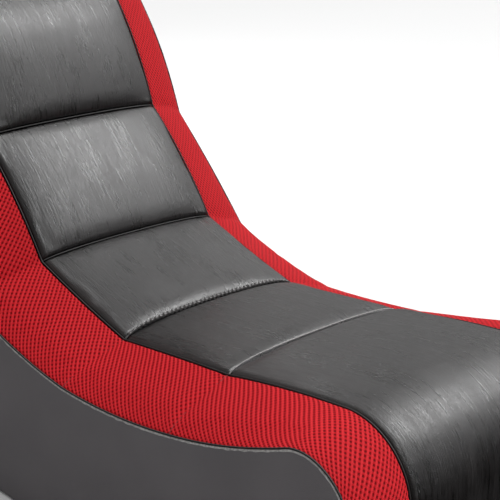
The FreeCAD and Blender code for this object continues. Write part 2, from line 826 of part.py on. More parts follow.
board = padded_body(
    "side_board_right",
    shell_outline(
        size("band_tuck") + GAP + size("seam_relief"), size("strip_thickness") + GAP,
        size("back_cover_thickness") + GAP,
    ),
    "Dimensions.board_thickness",
)
mortises = []
for label, centre, facing in FRAME_PLACES:
    mortises += turned_box(
        centre, facing, size("tenon_breadth") + GAP / 2, size("tenon_thickness") + GAP / 2
    )
pocket_through(board, side_sketch(board, mortises, "mortises"), "mortise_pocket")
hole_radius = size("lightening_hole_radius")
spine_depth = (size("back_depth") + size("back_drop")) / 2
HOLES = [
    shoulder.off(0.93, -spine_depth), mid_back.off(0.92, -spine_depth),
    add(seat_seam, (-35.0, -118.0)), add(seat_seam, (60.0, -128.0)),
    add(seat_seam, (150.0, -125.0)), add(seat_seam, (-130.0, -96.0)),
]
hole_sizes = [0.42, 0.42, 1.0, 1.0, 1.0, 0.8]
holes = side_sketch(board, [], "lightening_holes")
for centre, share in zip(HOLES, hole_sizes):
    holes.addGeometry(
        Part.Circle(Vector(centre[0], centre[1], 0), Vector(0, 0, 1), hole_radius * share), False
    )
pocket_through(board, holes, "lightening_pocket")
keep(board, "side_board_right", in_frame(Vector(-BOARD_OUTER, 0, 0)))
mirrored(board, "side_board_left")

# Corner blocks: three-sided glue blocks between rails and boards
leg = size("block_leg")
blocks = []
for face, inside in BLOCK_SPOTS:
    along = heading(inside - 90)
    for side in (1, -1):
        rim = -side * BOARD_INNER
        corners = [
            Vector(rim, *face), Vector(rim + side * leg, *face), Vector(rim, *add(face, heading(inside), leg)),
        ]
        prism = Part.Face(Part.makePolygon(corners + corners[:1]))
        start = Vector(0, along[0], along[1]) * (-block_length / 2)
        prism.translate(start)
        blocks.append(prism.extrude(start * -2))
corner_blocks = doc.addObject("Part::Feature", "corner_blocks")
corner_blocks.Shape = Part.makeCompound(blocks)
keep(corner_blocks, "corner_blocks", in_frame())

# Foam cores and webbing under the cushions


def layer(stretches, top, bottom, low, high):
    """Closed side outline of a layer between two depths, from a place on the first stretch to one on the last."""
    upper, under = [], []
    for stretch in stretches:
        a = low if stretch is stretches[0] else 0.0
        b = high if stretch is stretches[-1] else 1.0
        upper.append(arc_edge(*[stretch.off(t, -top) for t in (a, (a + b) / 2, b)]))
        under.insert(0, arc_edge(*[stretch.off(t, -bottom) for t in (b, (a + b) / 2, a)]))
    return closed(upper, under)


core_top = size("cushion_depth") + GAP
core_bottom = core_top + size("core_thickness")
BACK_LINE = (head_face, shoulder, mid_back, lumbar)
SEAT_LINE = (hip, seat, nose_slope)
back_core = padded_body(
    "back_core", layer(BACK_LINE, core_top, core_bottom, 0.05, 0.99), "%s - Dimensions.fit_gap" % WIDTH, True
)
keep(back_core, "back_core", in_frame())
seat_core = padded_body(
    "seat_core", layer(SEAT_LINE, core_top, core_bottom, 0.01, 0.95), "%s - Dimensions.fit_gap" % WIDTH, True
)
keep(seat_core, "seat_core", in_frame())

strap_top = core_bottom + GAP
strap_bottom = strap_top + size("strap_thickness")
strap_count = int((size("cushion_width") - size("strap_width")) // size("strap_pitch")) + 1


def straps(label, stretches, low, high):
    """Equal webbing straps side by side, stretched over the rails."""
    outline = layer(stretches, strap_top, strap_bottom, low, high)
    face = Part.Face(Part.Wire([curve.toShape() for curve in outline]))
    bands = []
    for i in range(strap_count):
        middle = (i - (strap_count - 1) / 2) * size("strap_pitch")
        strap = face.copy()
        strap.translate(Vector(middle - size("strap_width") / 2, 0, 0))
        bands.append(strap.extrude(Vector(size("strap_width"), 0, 0)))
    webbing = doc.addObject("Part::Feature", label)
    webbing.Shape = Part.makeCompound(bands)
    keep(webbing, label, in_frame())


straps("back_webbing", BACK_LINE[1:], 0.04, 0.85)
straps("seat_webbing", SEAT_LINE, 0.05, 0.6)

# Floor strips under the boards
strip = padded_body(
    "floor_strip_right",
    closed(base_curves(0.0), turned_back(base_curves(size("strip_thickness")))),
    "Dimensions.strip_width",
)
keep(strip, "floor_strip_right", in_frame(Vector(-BOARD_OUTER, 0, 0)))
mirrored(strip, "floor_strip_left")


# Lower covers: dust cover under the base, heel cover, and the back cover above the zip


def along_chain(curves, low, high):
    """The part of a chain of curves between two lengths along it."""
    kept = []
    travelled = 0.0
    for curve in curves:
        length = curve.length()
        start, end = max(low - travelled, 0.0), min(high - travelled, length)
        travelled += length
        if end - start < 1e-6:
            continue
        points = [curve.value(curve.parameterAtDistance(d)) for d in (start, (start + end) / 2, end)]
        kept.append(arc_edge(*[(p.y, p.z) for p in points]))
    return kept


def chain_length(curves):
    return sum(curve.length() for curve in curves)


def place_at(curves, distance):
    """Point and direction of travel at a length along a chain."""
    for curve in curves:
        length = curve.length()
        if distance <= length:
            u = curve.parameterAtDistance(distance)
            point, along = curve.value(u), curve.tangent(u)[0]
            return (point.y, point.z), (along.y, along.z)
        distance -= length
    raise ValueError("the place lies past the end of the chain")


front_inset = GAP - size("nose_hem_rise")
dust_lift = size("base_cover_lift")
dust_top = dust_lift + size("base_cover_thickness")
dust_outer = toe_curves(dust_lift, front_inset + dust_lift) + base_curves(dust_lift)
dust_inner = toe_curves(dust_top, front_inset + dust_top) + base_curves(dust_top)
dust = padded_body("base_cover", closed(dust_outer, turned_back(dust_inner)), STRIP_SPAN, True)
keep(dust, "base_cover", in_frame())

rear_outer = rear_curves(0.0, 0.0)
rear_inner = rear_curves(size("back_cover_thickness"), size("back_cover_thickness"))
heel_run = sum(curve.length() for curve in rear_outer[:2])
zip_station = heel_run + size("zip_place")


def rear_sheet(label, low, high):
    """A cover sheet on the rear line between two lengths from the heel start."""
    outer = along_chain(rear_outer, low, high)
    inner = []
    for point, along in (place_at(rear_outer, low), place_at(rear_outer, min(high, chain_length(rear_outer)))):
        inner.append(add(point, (-along[1], along[0]), size("back_cover_thickness")))
    starts = [nearest_length(rear_inner, point) for point in inner]
    middle = along_chain(rear_inner, starts[0], starts[1])
    body = padded_body(label, closed(outer, turned_back(middle)), COVER_SPAN + " - 2 * Dimensions.fit_gap", True)
    return keep(body, label, in_frame())


def nearest_length(curves, point):
    """Length along a chain where it passes nearest to a point."""
    best = None
    travelled = 0.0
    for curve in curves:
        u = curve.parameter(Vector(0, *point))
        u = max(curve.FirstParameter, min(curve.LastParameter, u))
        away = curve.value(u).distanceToPoint(Vector(0, *point))
        here = travelled + curve.length(curve.FirstParameter, u)
        if best is None or away < best[0]:
            best = (away, here)
        travelled += curve.length()
    return best[1]


rear_total = chain_length(rear_outer)
rear_sheet("heel_cover", GAP, zip_station - size("zip_gap") / 2)
rear_sheet("back_cover", zip_station + size("zip_gap") / 2, rear_total - GAP)

# Zip closure across the lower back: two rows with a slit between, a slider and its pull
zip_point, zip_along = place_at(rear_outer, zip_station)
zip_out = (zip_along[1], -zip_along[0])
tape_top = -(size("back_cover_thickness") + GAP)
tape_bottom = tape_top - size("zip_tape_thickness")
row_top = tape_top + size("zip_row_height")
row_edge = size("zip_slit") / 2 + size("zip_row_width")
play = size("slide_gap")


def zip_spot(u, w):
    """Side-view point at a distance up the zip's face and a height out of it."""
    return add(add(zip_point, zip_along, u), zip_out, w)


def zip_outline(pairs):
    points = [zip_spot(u, w) for u, w in pairs]
    return [line_edge(a, b) for a, b in zip(points, points[1:] + points[:1])]


for label, way in (("zip_tape_upper", 1), ("zip_tape_lower", -1)):
    slit = size("zip_slit") / 2
    tape = padded_body(
        label,
        zip_outline([
            (way * slit, tape_bottom), (way * size("zip_tape_width"), tape_bottom),
            (way * size("zip_tape_width"), tape_top), (way * row_edge, tape_top),
            (way * row_edge, row_top), (way * slit, row_top),
        ]),
        "Dimensions.zip_length",
        True,
    )
    keep(tape, label, in_frame())

stop_length = size("zip_stop_length")
stops = []
for side in (-1, 1):
    outline = zip_outline([
        (-row_edge, row_top + play / 2), (row_edge, row_top + play / 2),
        (row_edge, row_top + play / 2 + size("slider_plate") / 2),
        (-row_edge, row_top + play / 2 + size("slider_plate") / 2),
    ])
    tongue = zip_outline([
        (-slit + play / 2, tape_bottom), (slit - play / 2, tape_bottom),
        (slit - play / 2, row_top + size("slider_plate") / 2), (-slit + play / 2, row_top + size("slider_plate") / 2),
    ])
    start = side * size("zip_length") / 2 - (stop_length if side > 0 else 0)
    parts = []
    for curves in (outline, tongue):
        face = Part.Face(Part.Wire([curve.toShape() for curve in curves]))
        face.translate(Vector(start, 0, 0))
        parts.append(face.extrude(Vector(stop_length, 0, 0)))
    stops.append(parts[0].fuse(parts[1]))
zip_stops = doc.addObject("Part::Feature", "zip_stops")
zip_stops.Shape = Part.makeCompound(stops)
keep(zip_stops, "zip_stops", in_frame())

# The slider: two plates joined by a web that runs in the slit, with flanges down beside the rows
plate = size("slider_plate")
flange_in = row_edge + play
flange_out = flange_in + size("slider_flange")
web = size("slider_web") / 2
cap_low, cap_high = row_top + play, row_top + play + plate
keel_high, keel_low = tape_bottom - play, tape_bottom - play - plate
rest_place = -(size("zip_length") / 2 - stop_length - play - size("slider_length") / 2)
slider = padded_body(
    "slider_body",
    zip_outline([
        (-flange_out, cap_high), (flange_out, cap_high), (flange_out, tape_top + play),
        (flange_in, tape_top + play), (flange_in, cap_low), (web, cap_low), (web, keel_high),
        (flange_out, keel_high), (flange_out, keel_low), (-flange_out, keel_low), (-flange_out, keel_high),
        (-web, keel_high), (-web, cap_low), (-flange_in, cap_low), (-flange_in, tape_top + play),
        (-flange_out, tape_top + play),
    ]),
    "Dimensions.slider_length",
    True,
)
bar_spot = zip_spot(0, cap_high + size("bail_height"))
neck = size("pull_neck")
post_thick = size("bail_post")
post_half = size("bail_radius") + 0.5
posts = []
for side in (-1, 1):
    low = side * (neck / 2 + play) + (0 if side > 0 else -post_thick)
    corners = [
        zip_spot(-2 * post_half, cap_high - plate / 2), zip_spot(2 * post_half, cap_high - plate / 2),
        zip_spot(post_half, cap_high + size("bail_height") + post_half),
        zip_spot(-post_half, cap_high + size("bail_height") + post_half),
    ]
    face = Part.Face(Part.makePolygon([Vector(low, *c) for c in corners + corners[:1]]))
    posts.append(face.extrude(Vector(post_thick, 0, 0)))
bar = Part.makeCylinder(
    size("bail_radius"), neck + 2 * play + post_thick,
    Vector(-(neck + 2 * play + post_thick) / 2, *bar_spot), Vector(1, 0, 0),
)
bail = doc.addObject("Part::Feature", "slider_bail")
bail.Shape = bar.fuse(posts)
doc.recompute()
zip_slider = doc.addObject("Part::Fuse", "zip_slider")
zip_slider.Base, zip_slider.Tool = slider, bail
keep(zip_slider, "zip_slider", in_frame(Vector(rest_place, 0, 0)))

# The pull hangs plumb from the bail: a bored knuckle and a flat tongue with a rounded end
bore = size("bail_radius") + size("pull_bore_gap")
knuckle = bore + size("pull_wall")
half_thick = size("pull_thickness") / 2
tip = size("pull_length") - size("pull_width") / 2
tongue_face = Part.Face(Part.Wire([
    Part.LineSegment(Vector(-neck / 2, 0, 0), Vector(-neck / 2, 0, -2 * knuckle)).toShape(),
    Part.LineSegment(Vector(-neck / 2, 0, -2 * knuckle), Vector(-size("pull_width") / 2, 0, -tip)).toShape(),
    Part.Arc(
        Vector(-size("pull_width") / 2, 0, -tip), Vector(0, 0, -size("pull_length")),
        Vector(size("pull_width") / 2, 0, -tip),
    ).toShape(),
    Part.LineSegment(Vector(size("pull_width") / 2, 0, -tip), Vector(neck / 2, 0, -2 * knuckle)).toShape(),
    Part.LineSegment(Vector(neck / 2, 0, -2 * knuckle), Vector(neck / 2, 0, 0)).toShape(),
    Part.LineSegment(Vector(neck / 2, 0, 0), Vector(-neck / 2, 0, 0)).toShape(),
]))
tongue_face.translate(Vector(0, -half_thick, 0))
tongue_solid = tongue_face.extrude(Vector(0, 2 * half_thick, 0))
grip_hole = Part.makeCylinder(
    size("pull_width") / 5, 4 * half_thick, Vector(0, -2 * half_thick, -tip), Vector(0, 1, 0)
)
barrel = Part.makeCylinder(knuckle, neck, Vector(-neck / 2, 0, 0), Vector(1, 0, 0))
barrel_bore = Part.makeCylinder(bore, neck + 2, Vector(-neck / 2 - 1, 0, 0), Vector(1, 0, 0))
zip_pull = doc.addObject("Part::Feature", "zip_pull")
zip_pull.Shape = barrel.fuse(tongue_solid).cut(barrel_bore).cut(grip_hole)
keep(zip_pull, "zip_pull", in_frame(Vector(rest_place, *bar_spot)))

slide_travel = -2 * rest_place
pull_axis = ORIGIN + Vector(rest_place, *bar_spot)
print("zip: travel %.2f mm, pull axis %s" % (slide_travel, [round(c, 3) for c in pull_axis]))
print("origin shift %.3f" % ORIGIN.y)
print("land middle y %.3f" % (ORIGIN.y + size("land_place")))

# Checks, then one STEP file for each sub-part
doc.recompute()
for obj in doc.Objects:
    if "Invalid" in obj.State or "Error" in obj.State:
        raise RuntimeError("%s failed: %s" % (obj.Label, obj.State))
for node in NODES:
    if node.Shape.isNull() or not node.Shape.isValid():
        raise RuntimeError(node.Label + " has no valid shape")
os.makedirs("parts", exist_ok=True)
for node in NODES:
    node.Shape.exportStep("parts/%s.step" % node.Label)
    box = node.Shape.BoundBox
    print("%-20s %2d solids %9.1f cm3  y %7.1f..%7.1f  z %6.1f..%6.1f" % (
        node.Label, len(node.Shape.Solids), node.Shape.Volume / 1000, box.YMin, box.YMax, box.ZMin, box.ZMax,
    ))
print(len(NODES), "sub-parts")
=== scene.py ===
"""Looks of a gaming rocker chair: leather channels, red mesh bands and vinyl side panels."""

import cmath
import logging
import math
from dataclasses import dataclass, field
from enum import Enum
from typing import Callable, Sequence

import bmesh
import bpy
from mathutils import Matrix, Vector, noise


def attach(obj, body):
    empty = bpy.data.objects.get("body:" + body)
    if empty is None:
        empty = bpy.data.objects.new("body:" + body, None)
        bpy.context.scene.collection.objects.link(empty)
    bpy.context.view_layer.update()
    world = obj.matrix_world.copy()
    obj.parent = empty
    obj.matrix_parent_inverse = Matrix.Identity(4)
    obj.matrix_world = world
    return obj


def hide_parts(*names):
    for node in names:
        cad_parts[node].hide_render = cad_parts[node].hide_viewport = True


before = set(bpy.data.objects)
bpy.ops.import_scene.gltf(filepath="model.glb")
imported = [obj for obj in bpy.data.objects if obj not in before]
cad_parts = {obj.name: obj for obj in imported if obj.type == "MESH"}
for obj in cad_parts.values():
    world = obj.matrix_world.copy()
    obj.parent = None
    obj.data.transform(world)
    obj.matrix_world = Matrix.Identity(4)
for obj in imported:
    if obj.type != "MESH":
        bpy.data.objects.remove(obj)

SHELL = "shell"
MERGE_DISTANCE = 1e-6
FLAT_ANGLE = math.radians(1.0)
CREASE_ANGLE = math.radians(35.0)
log = logging.getLogger("rocker")


# The sitting line in the side view


def heading(degrees: float) -> complex:
    """Direction of travel in the side view, as y + z * 1j, from its angle."""
    return cmath.rect(1.0, math.radians(degrees))


@dataclass
class Stretch:
    """One stretch of the sitting line: an arc with its bow towards the sitter, or a straight line."""

    start: complex
    end: complex
    bow: float
    drop_start: float
    drop_end: float
    drop_swell: float = 0.0
    lean_start: float = 0.0
    lean_end: float = 0.0

    def __post_init__(self) -> None:
        """Works out the arc from its ends and its bow."""
        chord = self.end - self.start
        self.chord_normal = chord / abs(chord) * -1j
        self.straight = abs(self.bow) < 1e-7
        self.half = 0.0
        self.radius = 0.0
        self.length = abs(chord)
        if not self.straight:
            self.radius = (abs(chord) ** 2 / 4 + self.bow ** 2) / (2 * self.bow)
            self.half = math.asin(abs(chord) / 2 / self.radius)
            self.length = 2 * self.radius * self.half
        middle = (self.start + self.end) / 2
        self.centre = middle - self.chord_normal * (self.radius - self.bow)

    def facing(self, t: float) -> complex:
        """Outward normal at a share t of the stretch, without the lean that neighbours share at a seam."""
        return self.chord_normal * cmath.rect(1.0, self.half * (2 * t - 1))

    def point(self, t: float) -> complex:
        """Point of the line at a share t of the stretch."""
        if self.straight:
            return self.start + (self.end - self.start) * t
        return self.centre + self.facing(t) * self.radius

    def off(self, t: float, height: float) -> complex:
        """Point at a height over the line.

        Args:
            t: Share of the stretch, from 0 to 1.
            height: Height over the line, in metres.
        Returns:
            The point as y + z * 1j.
        """
        lean = self.lean_start * (1 - t) ** 3 + self.lean_end * t ** 3
        return self.point(t) + self.facing(t) * cmath.rect(height, lean)

    def drop(self, t: float) -> float:
        """How far the side panel's edge lies under the line."""
        return self.drop_start + (self.drop_end - self.drop_start) * t + self.drop_swell * 4 * t * (1 - t)


@dataclass
class Path:
    """A chain of stretches that is travelled by its length."""

    stretches: Sequence[Stretch]

    @property
    def length(self) -> float:
        """Length along the sitting line."""
        return sum(stretch.length for stretch in self.stretches)

    def place(self, distance: float) -> tuple[Stretch, float]:
        """The stretch, and the share of it, that lies at a distance from the chain's start."""
        left = max(distance, 0.0)
        for stretch in self.stretches:
            if left <= stretch.length or stretch is self.stretches[-1]:
                return stretch, min(left / stretch.length, 1.0)
            left -= stretch.length
        raise ValueError("the path has no stretches")

    def off(self, distance: float, height: float) -> complex:
        """Point at a distance along the chain and a height over it."""
        stretch, t = self.place(distance)
        return stretch.off(t, height)

    def drop(self, distance: float) -> float:
        """How far the side panel's edge lies under the line at a distance along it."""
        stretch, t = self.place(distance)
        return stretch.drop(t)


@dataclass(frozen=True)
class Run:
    """One channel's run: its length, its rise in degrees and its bow towards the sitter."""

    length: float
    rise: float
    bow: float


@dataclass
class SittingLine:
    """The S-shaped line on which every soft piece lies, from the head hem to the nose hem."""

    seat_seam: complex = complex(-0.04424, 0.215)
    head: Run = Run(0.045, 74.0, 0.002)
    shoulder: Run = Run(0.135, 67.0, 0.005)
    mid_back: Run = Run(0.1674, 61.4, 0.008)
    lumbar: Run = Run(0.1703, 49.8, 0.006)
    hip: Run = Run(0.1619, 19.1, -0.002)
    seat: Run = Run(0.1694, 4.1, 0.001)
    nose: Run = Run(0.166, 6.4, 0.003)
    head_roll_radius: float = 0.046
    nose_radius: float = 0.076
    nose_face_length: float = 0.045
    back_depth: float = 0.095
    back_drop: float = 0.054
    crease_drop: float = 0.045
    seat_drop: float = 0.0335
    thigh_drop: float = 0.0375
    lumbar_drop_swell: float = 0.003
    hip_drop_swell: float = 0.003
    seat_drop_swell: float = 0.006
    slope_drop_swell: float = 0.008
    nose_rise_swell: float = 0.0065
    head_drop: float = 0.034
    nose_drop: float = 0.0105
    nose_hem_rise: float = 0.0028
    head_hem_drop: float = 0.001

    def __post_init__(self) -> None:
        """Chains the stretches from the seat seam, up and down, and shares the lean at each seam."""
        crease = self.seat_seam + heading(self.hip.rise) * self.hip.length
        lumbar_seam = crease + heading(self.lumbar.rise) * self.lumbar.length
        mid_seam = lumbar_seam + heading(self.mid_back.rise) * self.mid_back.length
        shoulder_seam = mid_seam + heading(self.shoulder.rise) * self.shoulder.length
        head_edge = shoulder_seam + heading(self.head.rise) * self.head.length
        thigh_seam = self.seat_seam - heading(-self.seat.rise) * self.seat.length
        nose_top = thigh_seam - heading(-self.nose.rise) * self.nose.length
        nose_front = nose_top + complex(-self.nose_radius, -self.nose_radius)
        hem = nose_front - 1j * self.nose_face_length

        crest_drop = (self.head_drop + self.head_hem_drop) / 2
        crest, head_hem = self.head_roll(head_edge, shoulder_seam, mid_seam, lumbar_seam)
        roll_bow = self.head_roll_radius - math.sqrt(
            self.head_roll_radius ** 2 - abs(crest - head_edge) ** 2 / 4
        )
        nose_bow = self.nose_radius * (1 - math.sqrt(0.5))
        back, low, seat = self.back_drop, self.crease_drop, self.seat_drop
        stretches = {
            "roll_rear": (head_hem, crest, roll_bow, self.head_hem_drop, crest_drop, 0.0),
            "roll_front": (crest, head_edge, roll_bow, crest_drop, self.head_drop, 0.0),
            "head_face": (head_edge, shoulder_seam, self.head.bow, self.head_drop, back, 0.0),
            "shoulder": (shoulder_seam, mid_seam, self.shoulder.bow, back, back, 0.0),
            "mid_back": (mid_seam, lumbar_seam, self.mid_back.bow, back, back, 0.0),
            "lumbar": (lumbar_seam, crease, self.lumbar.bow, back, low, self.lumbar_drop_swell),
            "hip": (crease, self.seat_seam, self.hip.bow, low, seat, self.hip_drop_swell),
            "seat": (self.seat_seam, thigh_seam, self.seat.bow, seat, self.thigh_drop,
                     self.seat_drop_swell),
            "nose_slope": (thigh_seam, nose_top, self.nose.bow, self.thigh_drop, self.nose_drop,
                           self.slope_drop_swell),
            "nose_round": (nose_top, nose_front, nose_bow, self.nose_drop, -self.nose_hem_rise,
                           -self.nose_rise_swell),
            "nose_face": (nose_front, hem, 0.0, -self.nose_hem_rise, -self.nose_hem_rise, 0.0),
        }
        self.stretches = {name: Stretch(*values) for name, values in stretches.items()}
        line = list(self.stretches.values())
        for upper, lower in zip(line, line[1:]):
            turn = cmath.phase(lower.facing(0) / upper.facing(1))
            upper.lean_end, lower.lean_start = turn / 2, -turn / 2

    def head_roll(
        self, head_edge: complex, shoulder_seam: complex, mid_seam: complex, lumbar_seam: complex
    ) -> tuple[complex, complex]:
        """Crest and rear hem of the roll at the top of the back.

        Args:
            head_edge: Top end of the head face.
            shoulder_seam: Seam under the head cushion.
            mid_seam: Seam under the shoulder cushion.
            lumbar_seam: Seam under the middle of the back.
        Returns:
            The crest point and the hem point.
        """
        radius = self.head_roll_radius
        centre = head_edge + heading(self.head.rise - 90) * radius
        upper_way = (mid_seam - shoulder_seam) / abs(mid_seam - shoulder_seam)
        lower_way = (lumbar_seam - mid_seam) / abs(lumbar_seam - mid_seam)
        inward = (upper_way + lower_way) * 1j
        spine = mid_seam + inward / abs(inward) * self.back_depth
        reach = spine - centre
        leave = cmath.phase(reach) + math.acos(radius / abs(reach))
        enter = math.radians(self.head.rise + 90)
        return centre + cmath.rect(radius, (enter + leave) / 2), centre + cmath.rect(radius, leave)

    def path(self, *names: str) -> Path:
        """The chain of the named stretches."""
        return Path([self.stretches[name] for name in names])

    def whole(self) -> Path:
        """The chain of all stretches."""
        return Path(list(self.stretches.values()))

    def distance_to(self, name: str) -> float:
        """Distance along the whole line at which a stretch begins."""
        total = 0.0
        for other, stretch in self.stretches.items():
            if other == name:
                return total
            total += stretch.length
        raise KeyError(name)


# Shader nodes


class Field:
    """A node socket that carries a value, with the operators that add Math nodes."""

    def __init__(self, maker: "Shader", socket: bpy.types.NodeSocket) -> None:
        """Wraps one socket of a shader's tree."""
        self.maker = maker
        self.socket = socket

    def math(self, operation: str, *others: "Field | float") -> "Field":
        """Result of a Math node on this value and others."""
        inputs = dict(enumerate((self, *others)))
        return self.maker.node("ShaderNodeMath", {"operation": operation}, inputs)

    def __add__(self, other: "Field | float") -> "Field":
        """Sum."""
        return self.math("ADD", other)

    def __radd__(self, other: float) -> "Field":
        """Sum with a number on the left."""
        return self.math("ADD", other)

    def __sub__(self, other: "Field | float") -> "Field":
        """Difference."""
        return self.math("SUBTRACT", other)

    def __rsub__(self, other: float) -> "Field":
        """Difference from a number."""
        return self.maker.node("ShaderNodeMath", {"operation": "SUBTRACT"}, {0: other, 1: self})

    def __mul__(self, other: "Field | float") -> "Field":
        """Product."""
        return self.math("MULTIPLY", other)

    def __rmul__(self, other: float) -> "Field":
        """Product with a number on the left."""
        return self.math("MULTIPLY", other)

    def sine(self) -> "Field":
        """Sine of the value, in radians."""
        return self.math("SINE")

    def largest(self, other: "Field | float") -> "Field":
        """The larger of two values."""
        return self.math("MAXIMUM", other)

    def between(self, low: float, high: float) -> "Field":
        """Smooth step from 0 at low to 1 at high."""
        settings = {"interpolation_type": "SMOOTHSTEP"}
        return self.maker.node("ShaderNodeMapRange", settings, {0: self, 1: low, 2: high})


class Shader:
    """Builds the nodes of one material, or of the studio's surroundings."""

    def __init__(
        self, holder: bpy.types.Material | bpy.types.World, surface: str = "Principled BSDF"
    ) -> None:
        """Turns on the holder's nodes and finds its surface node."""
        self.material = holder
        holder.use_nodes = True
        self.tree = holder.node_tree
        self.surface = self.tree.nodes[surface]

    @classmethod
    def of(cls, name: str) -> "Shader":
        """A shader in a new material."""
        return cls(bpy.data.materials.new(name))

    def node(
        self, kind: str, settings: dict[str, object], inputs: dict[int | str, object],
        output: int | str = 0,
    ) -> Field:
        """Adds a node.

        Args:
            kind: The node's type name.
            settings: Properties that are set before the sockets.
            inputs: Values or links of the sockets, by number or name.
            output: Socket to return, by number or name.
        Returns:
            The wrapped output socket.
        """
        made = self.tree.nodes.new(kind)
        for key, value in settings.items():
            setattr(made, key, value)
        for key, value in inputs.items():
            self.feed(made.inputs[key], value)
        return Field(self, made.outputs[output])

    def feed(self, socket: bpy.types.NodeSocket, value: object) -> None:
        """Links a field to a socket, or sets the socket's own value."""
        if isinstance(value, Field):
            self.tree.links.new(value.socket, socket)
        else:
            socket.default_value = value

    def set(self, **values: object) -> None:
        """Sets or links sockets of the surface shader, with _ for a space in their names."""
        for key, value in values.items():
            self.feed(self.surface.inputs[key.replace("_", " ")], value)

    def object_place(self) -> Field:
        """Object coordinates."""
        return self.node("ShaderNodeTexCoord", {}, {}, "Object")

    def cloth_place(self) -> Field:
        """The piece's own map: metres across it and along it."""
        return self.node("ShaderNodeTexCoord", {}, {}, "UV")

    def scaled(self, place: Field, scale: Sequence[float], turn: float = 0.0) -> Field:
        """Coordinates scaled along each axis after a turn about Z."""
        inputs = {"Vector": place, "Rotation": (0.0, 0.0, turn), "Scale": tuple(scale)}
        return self.node("ShaderNodeMapping", {}, inputs)

    def parts(self, place: Field) -> list[Field]:
        """The three parts of a vector."""
        made = self.node("ShaderNodeSeparateXYZ", {}, {0: place}).socket.node
        return [Field(self, output) for output in made.outputs]

    def cloud(self, place: Field, scale: float, detail: float = 4.0, roughness: float = 0.55) -> Field:
        """Soft noise from 0 to 1."""
        inputs = {"Vector": place, "Scale": scale, "Detail": detail, "Roughness": roughness}
        return self.node("ShaderNodeTexNoise", {}, inputs)

    def cells(self, place: Field, scale: float) -> Field:
        """Distance to the edges of random cells."""
        settings = {"feature": "DISTANCE_TO_EDGE"}
        return self.node("ShaderNodeTexVoronoi", settings, {"Vector": place, "Scale": scale})

    def blend(
        self, share: Field, low: "Sequence[float] | Field", high: "Sequence[float] | Field"
    ) -> Field:
        """Colour between two colours."""
        ends = [end if isinstance(end, Field) else (*end, 1.0) for end in (low, high)]
        inputs = {0: share, 6: ends[0], 7: ends[1]}
        return self.node("ShaderNodeMix", {"data_type": "RGBA"}, inputs, 2)

    def relief(self, height: Field, depth: float, strength: float = 1.0) -> None:
        """Bump of a height field whose full range is the given depth in metres."""
        inputs = {"Height": height, "Distance": depth, "Strength": strength}
        self.set(Normal=self.node("ShaderNodeBump", {}, inputs))


Colour = tuple[float, float, float]
Scale = tuple[float, float, float]


@dataclass(frozen=True)
class Leather:
    """Worn black imitation leather with fine streaks that run down the chair."""

    name: str = "worn_leather"
    dark: Colour = (0.0048, 0.0042, 0.0042)
    worn: Colour = (0.026, 0.022, 0.022)
    shine: float = 0.18
    streak_scale: Scale = (420.0, 20.0, 1.0)
    scratch_scale: Scale = (700.0, 30.0, 1.0)
    patch_scale: Scale = (30.0, 10.0, 1.0)
    streak_turn: float = 0.22
    scratch_turn: float = 0.05
    grain_scale: float = 760.0
    relief_depth: float = 0.0012
    relief_strength: float = 0.8
    gloss: float = 0.55

    def make(self) -> bpy.types.Material:
        """Builds the material."""
        shader = Shader.of(self.name)
        place = shader.cloth_place()
        streak = shader.cloud(shader.scaled(place, self.streak_scale, self.streak_turn), 1.0, 5.0, 0.62)
        scratch = shader.cloud(shader.scaled(place, self.scratch_scale, self.scratch_turn), 1.0, 3.0, 0.5)
        patch = shader.cloud(shader.scaled(place, self.patch_scale, self.streak_turn), 1.0, 4.0, 0.55)
        grain = shader.cells(place, self.grain_scale)
        wear = streak.between(0.36, 0.70) * 0.62 + patch.between(0.36, 0.68) * 0.38
        lines = scratch.between(0.58, 0.70) * patch.between(0.36, 0.60)
        share = wear * 0.75 + lines * 0.5
        rough = self.shine + streak.between(0.3, 0.7) * 0.20 + patch.between(0.3, 0.7) * 0.14
        shader.set(
            Base_Color=shader.blend(share, self.dark, self.worn),
            Roughness=rough - lines * 0.06,
            Specular_IOR_Level=self.gloss,
        )
        height = grain.between(0.0, 0.12) * 0.12 + streak * 0.55 + scratch * 0.35
        shader.relief(height, self.relief_depth, self.relief_strength)
        return shader.material


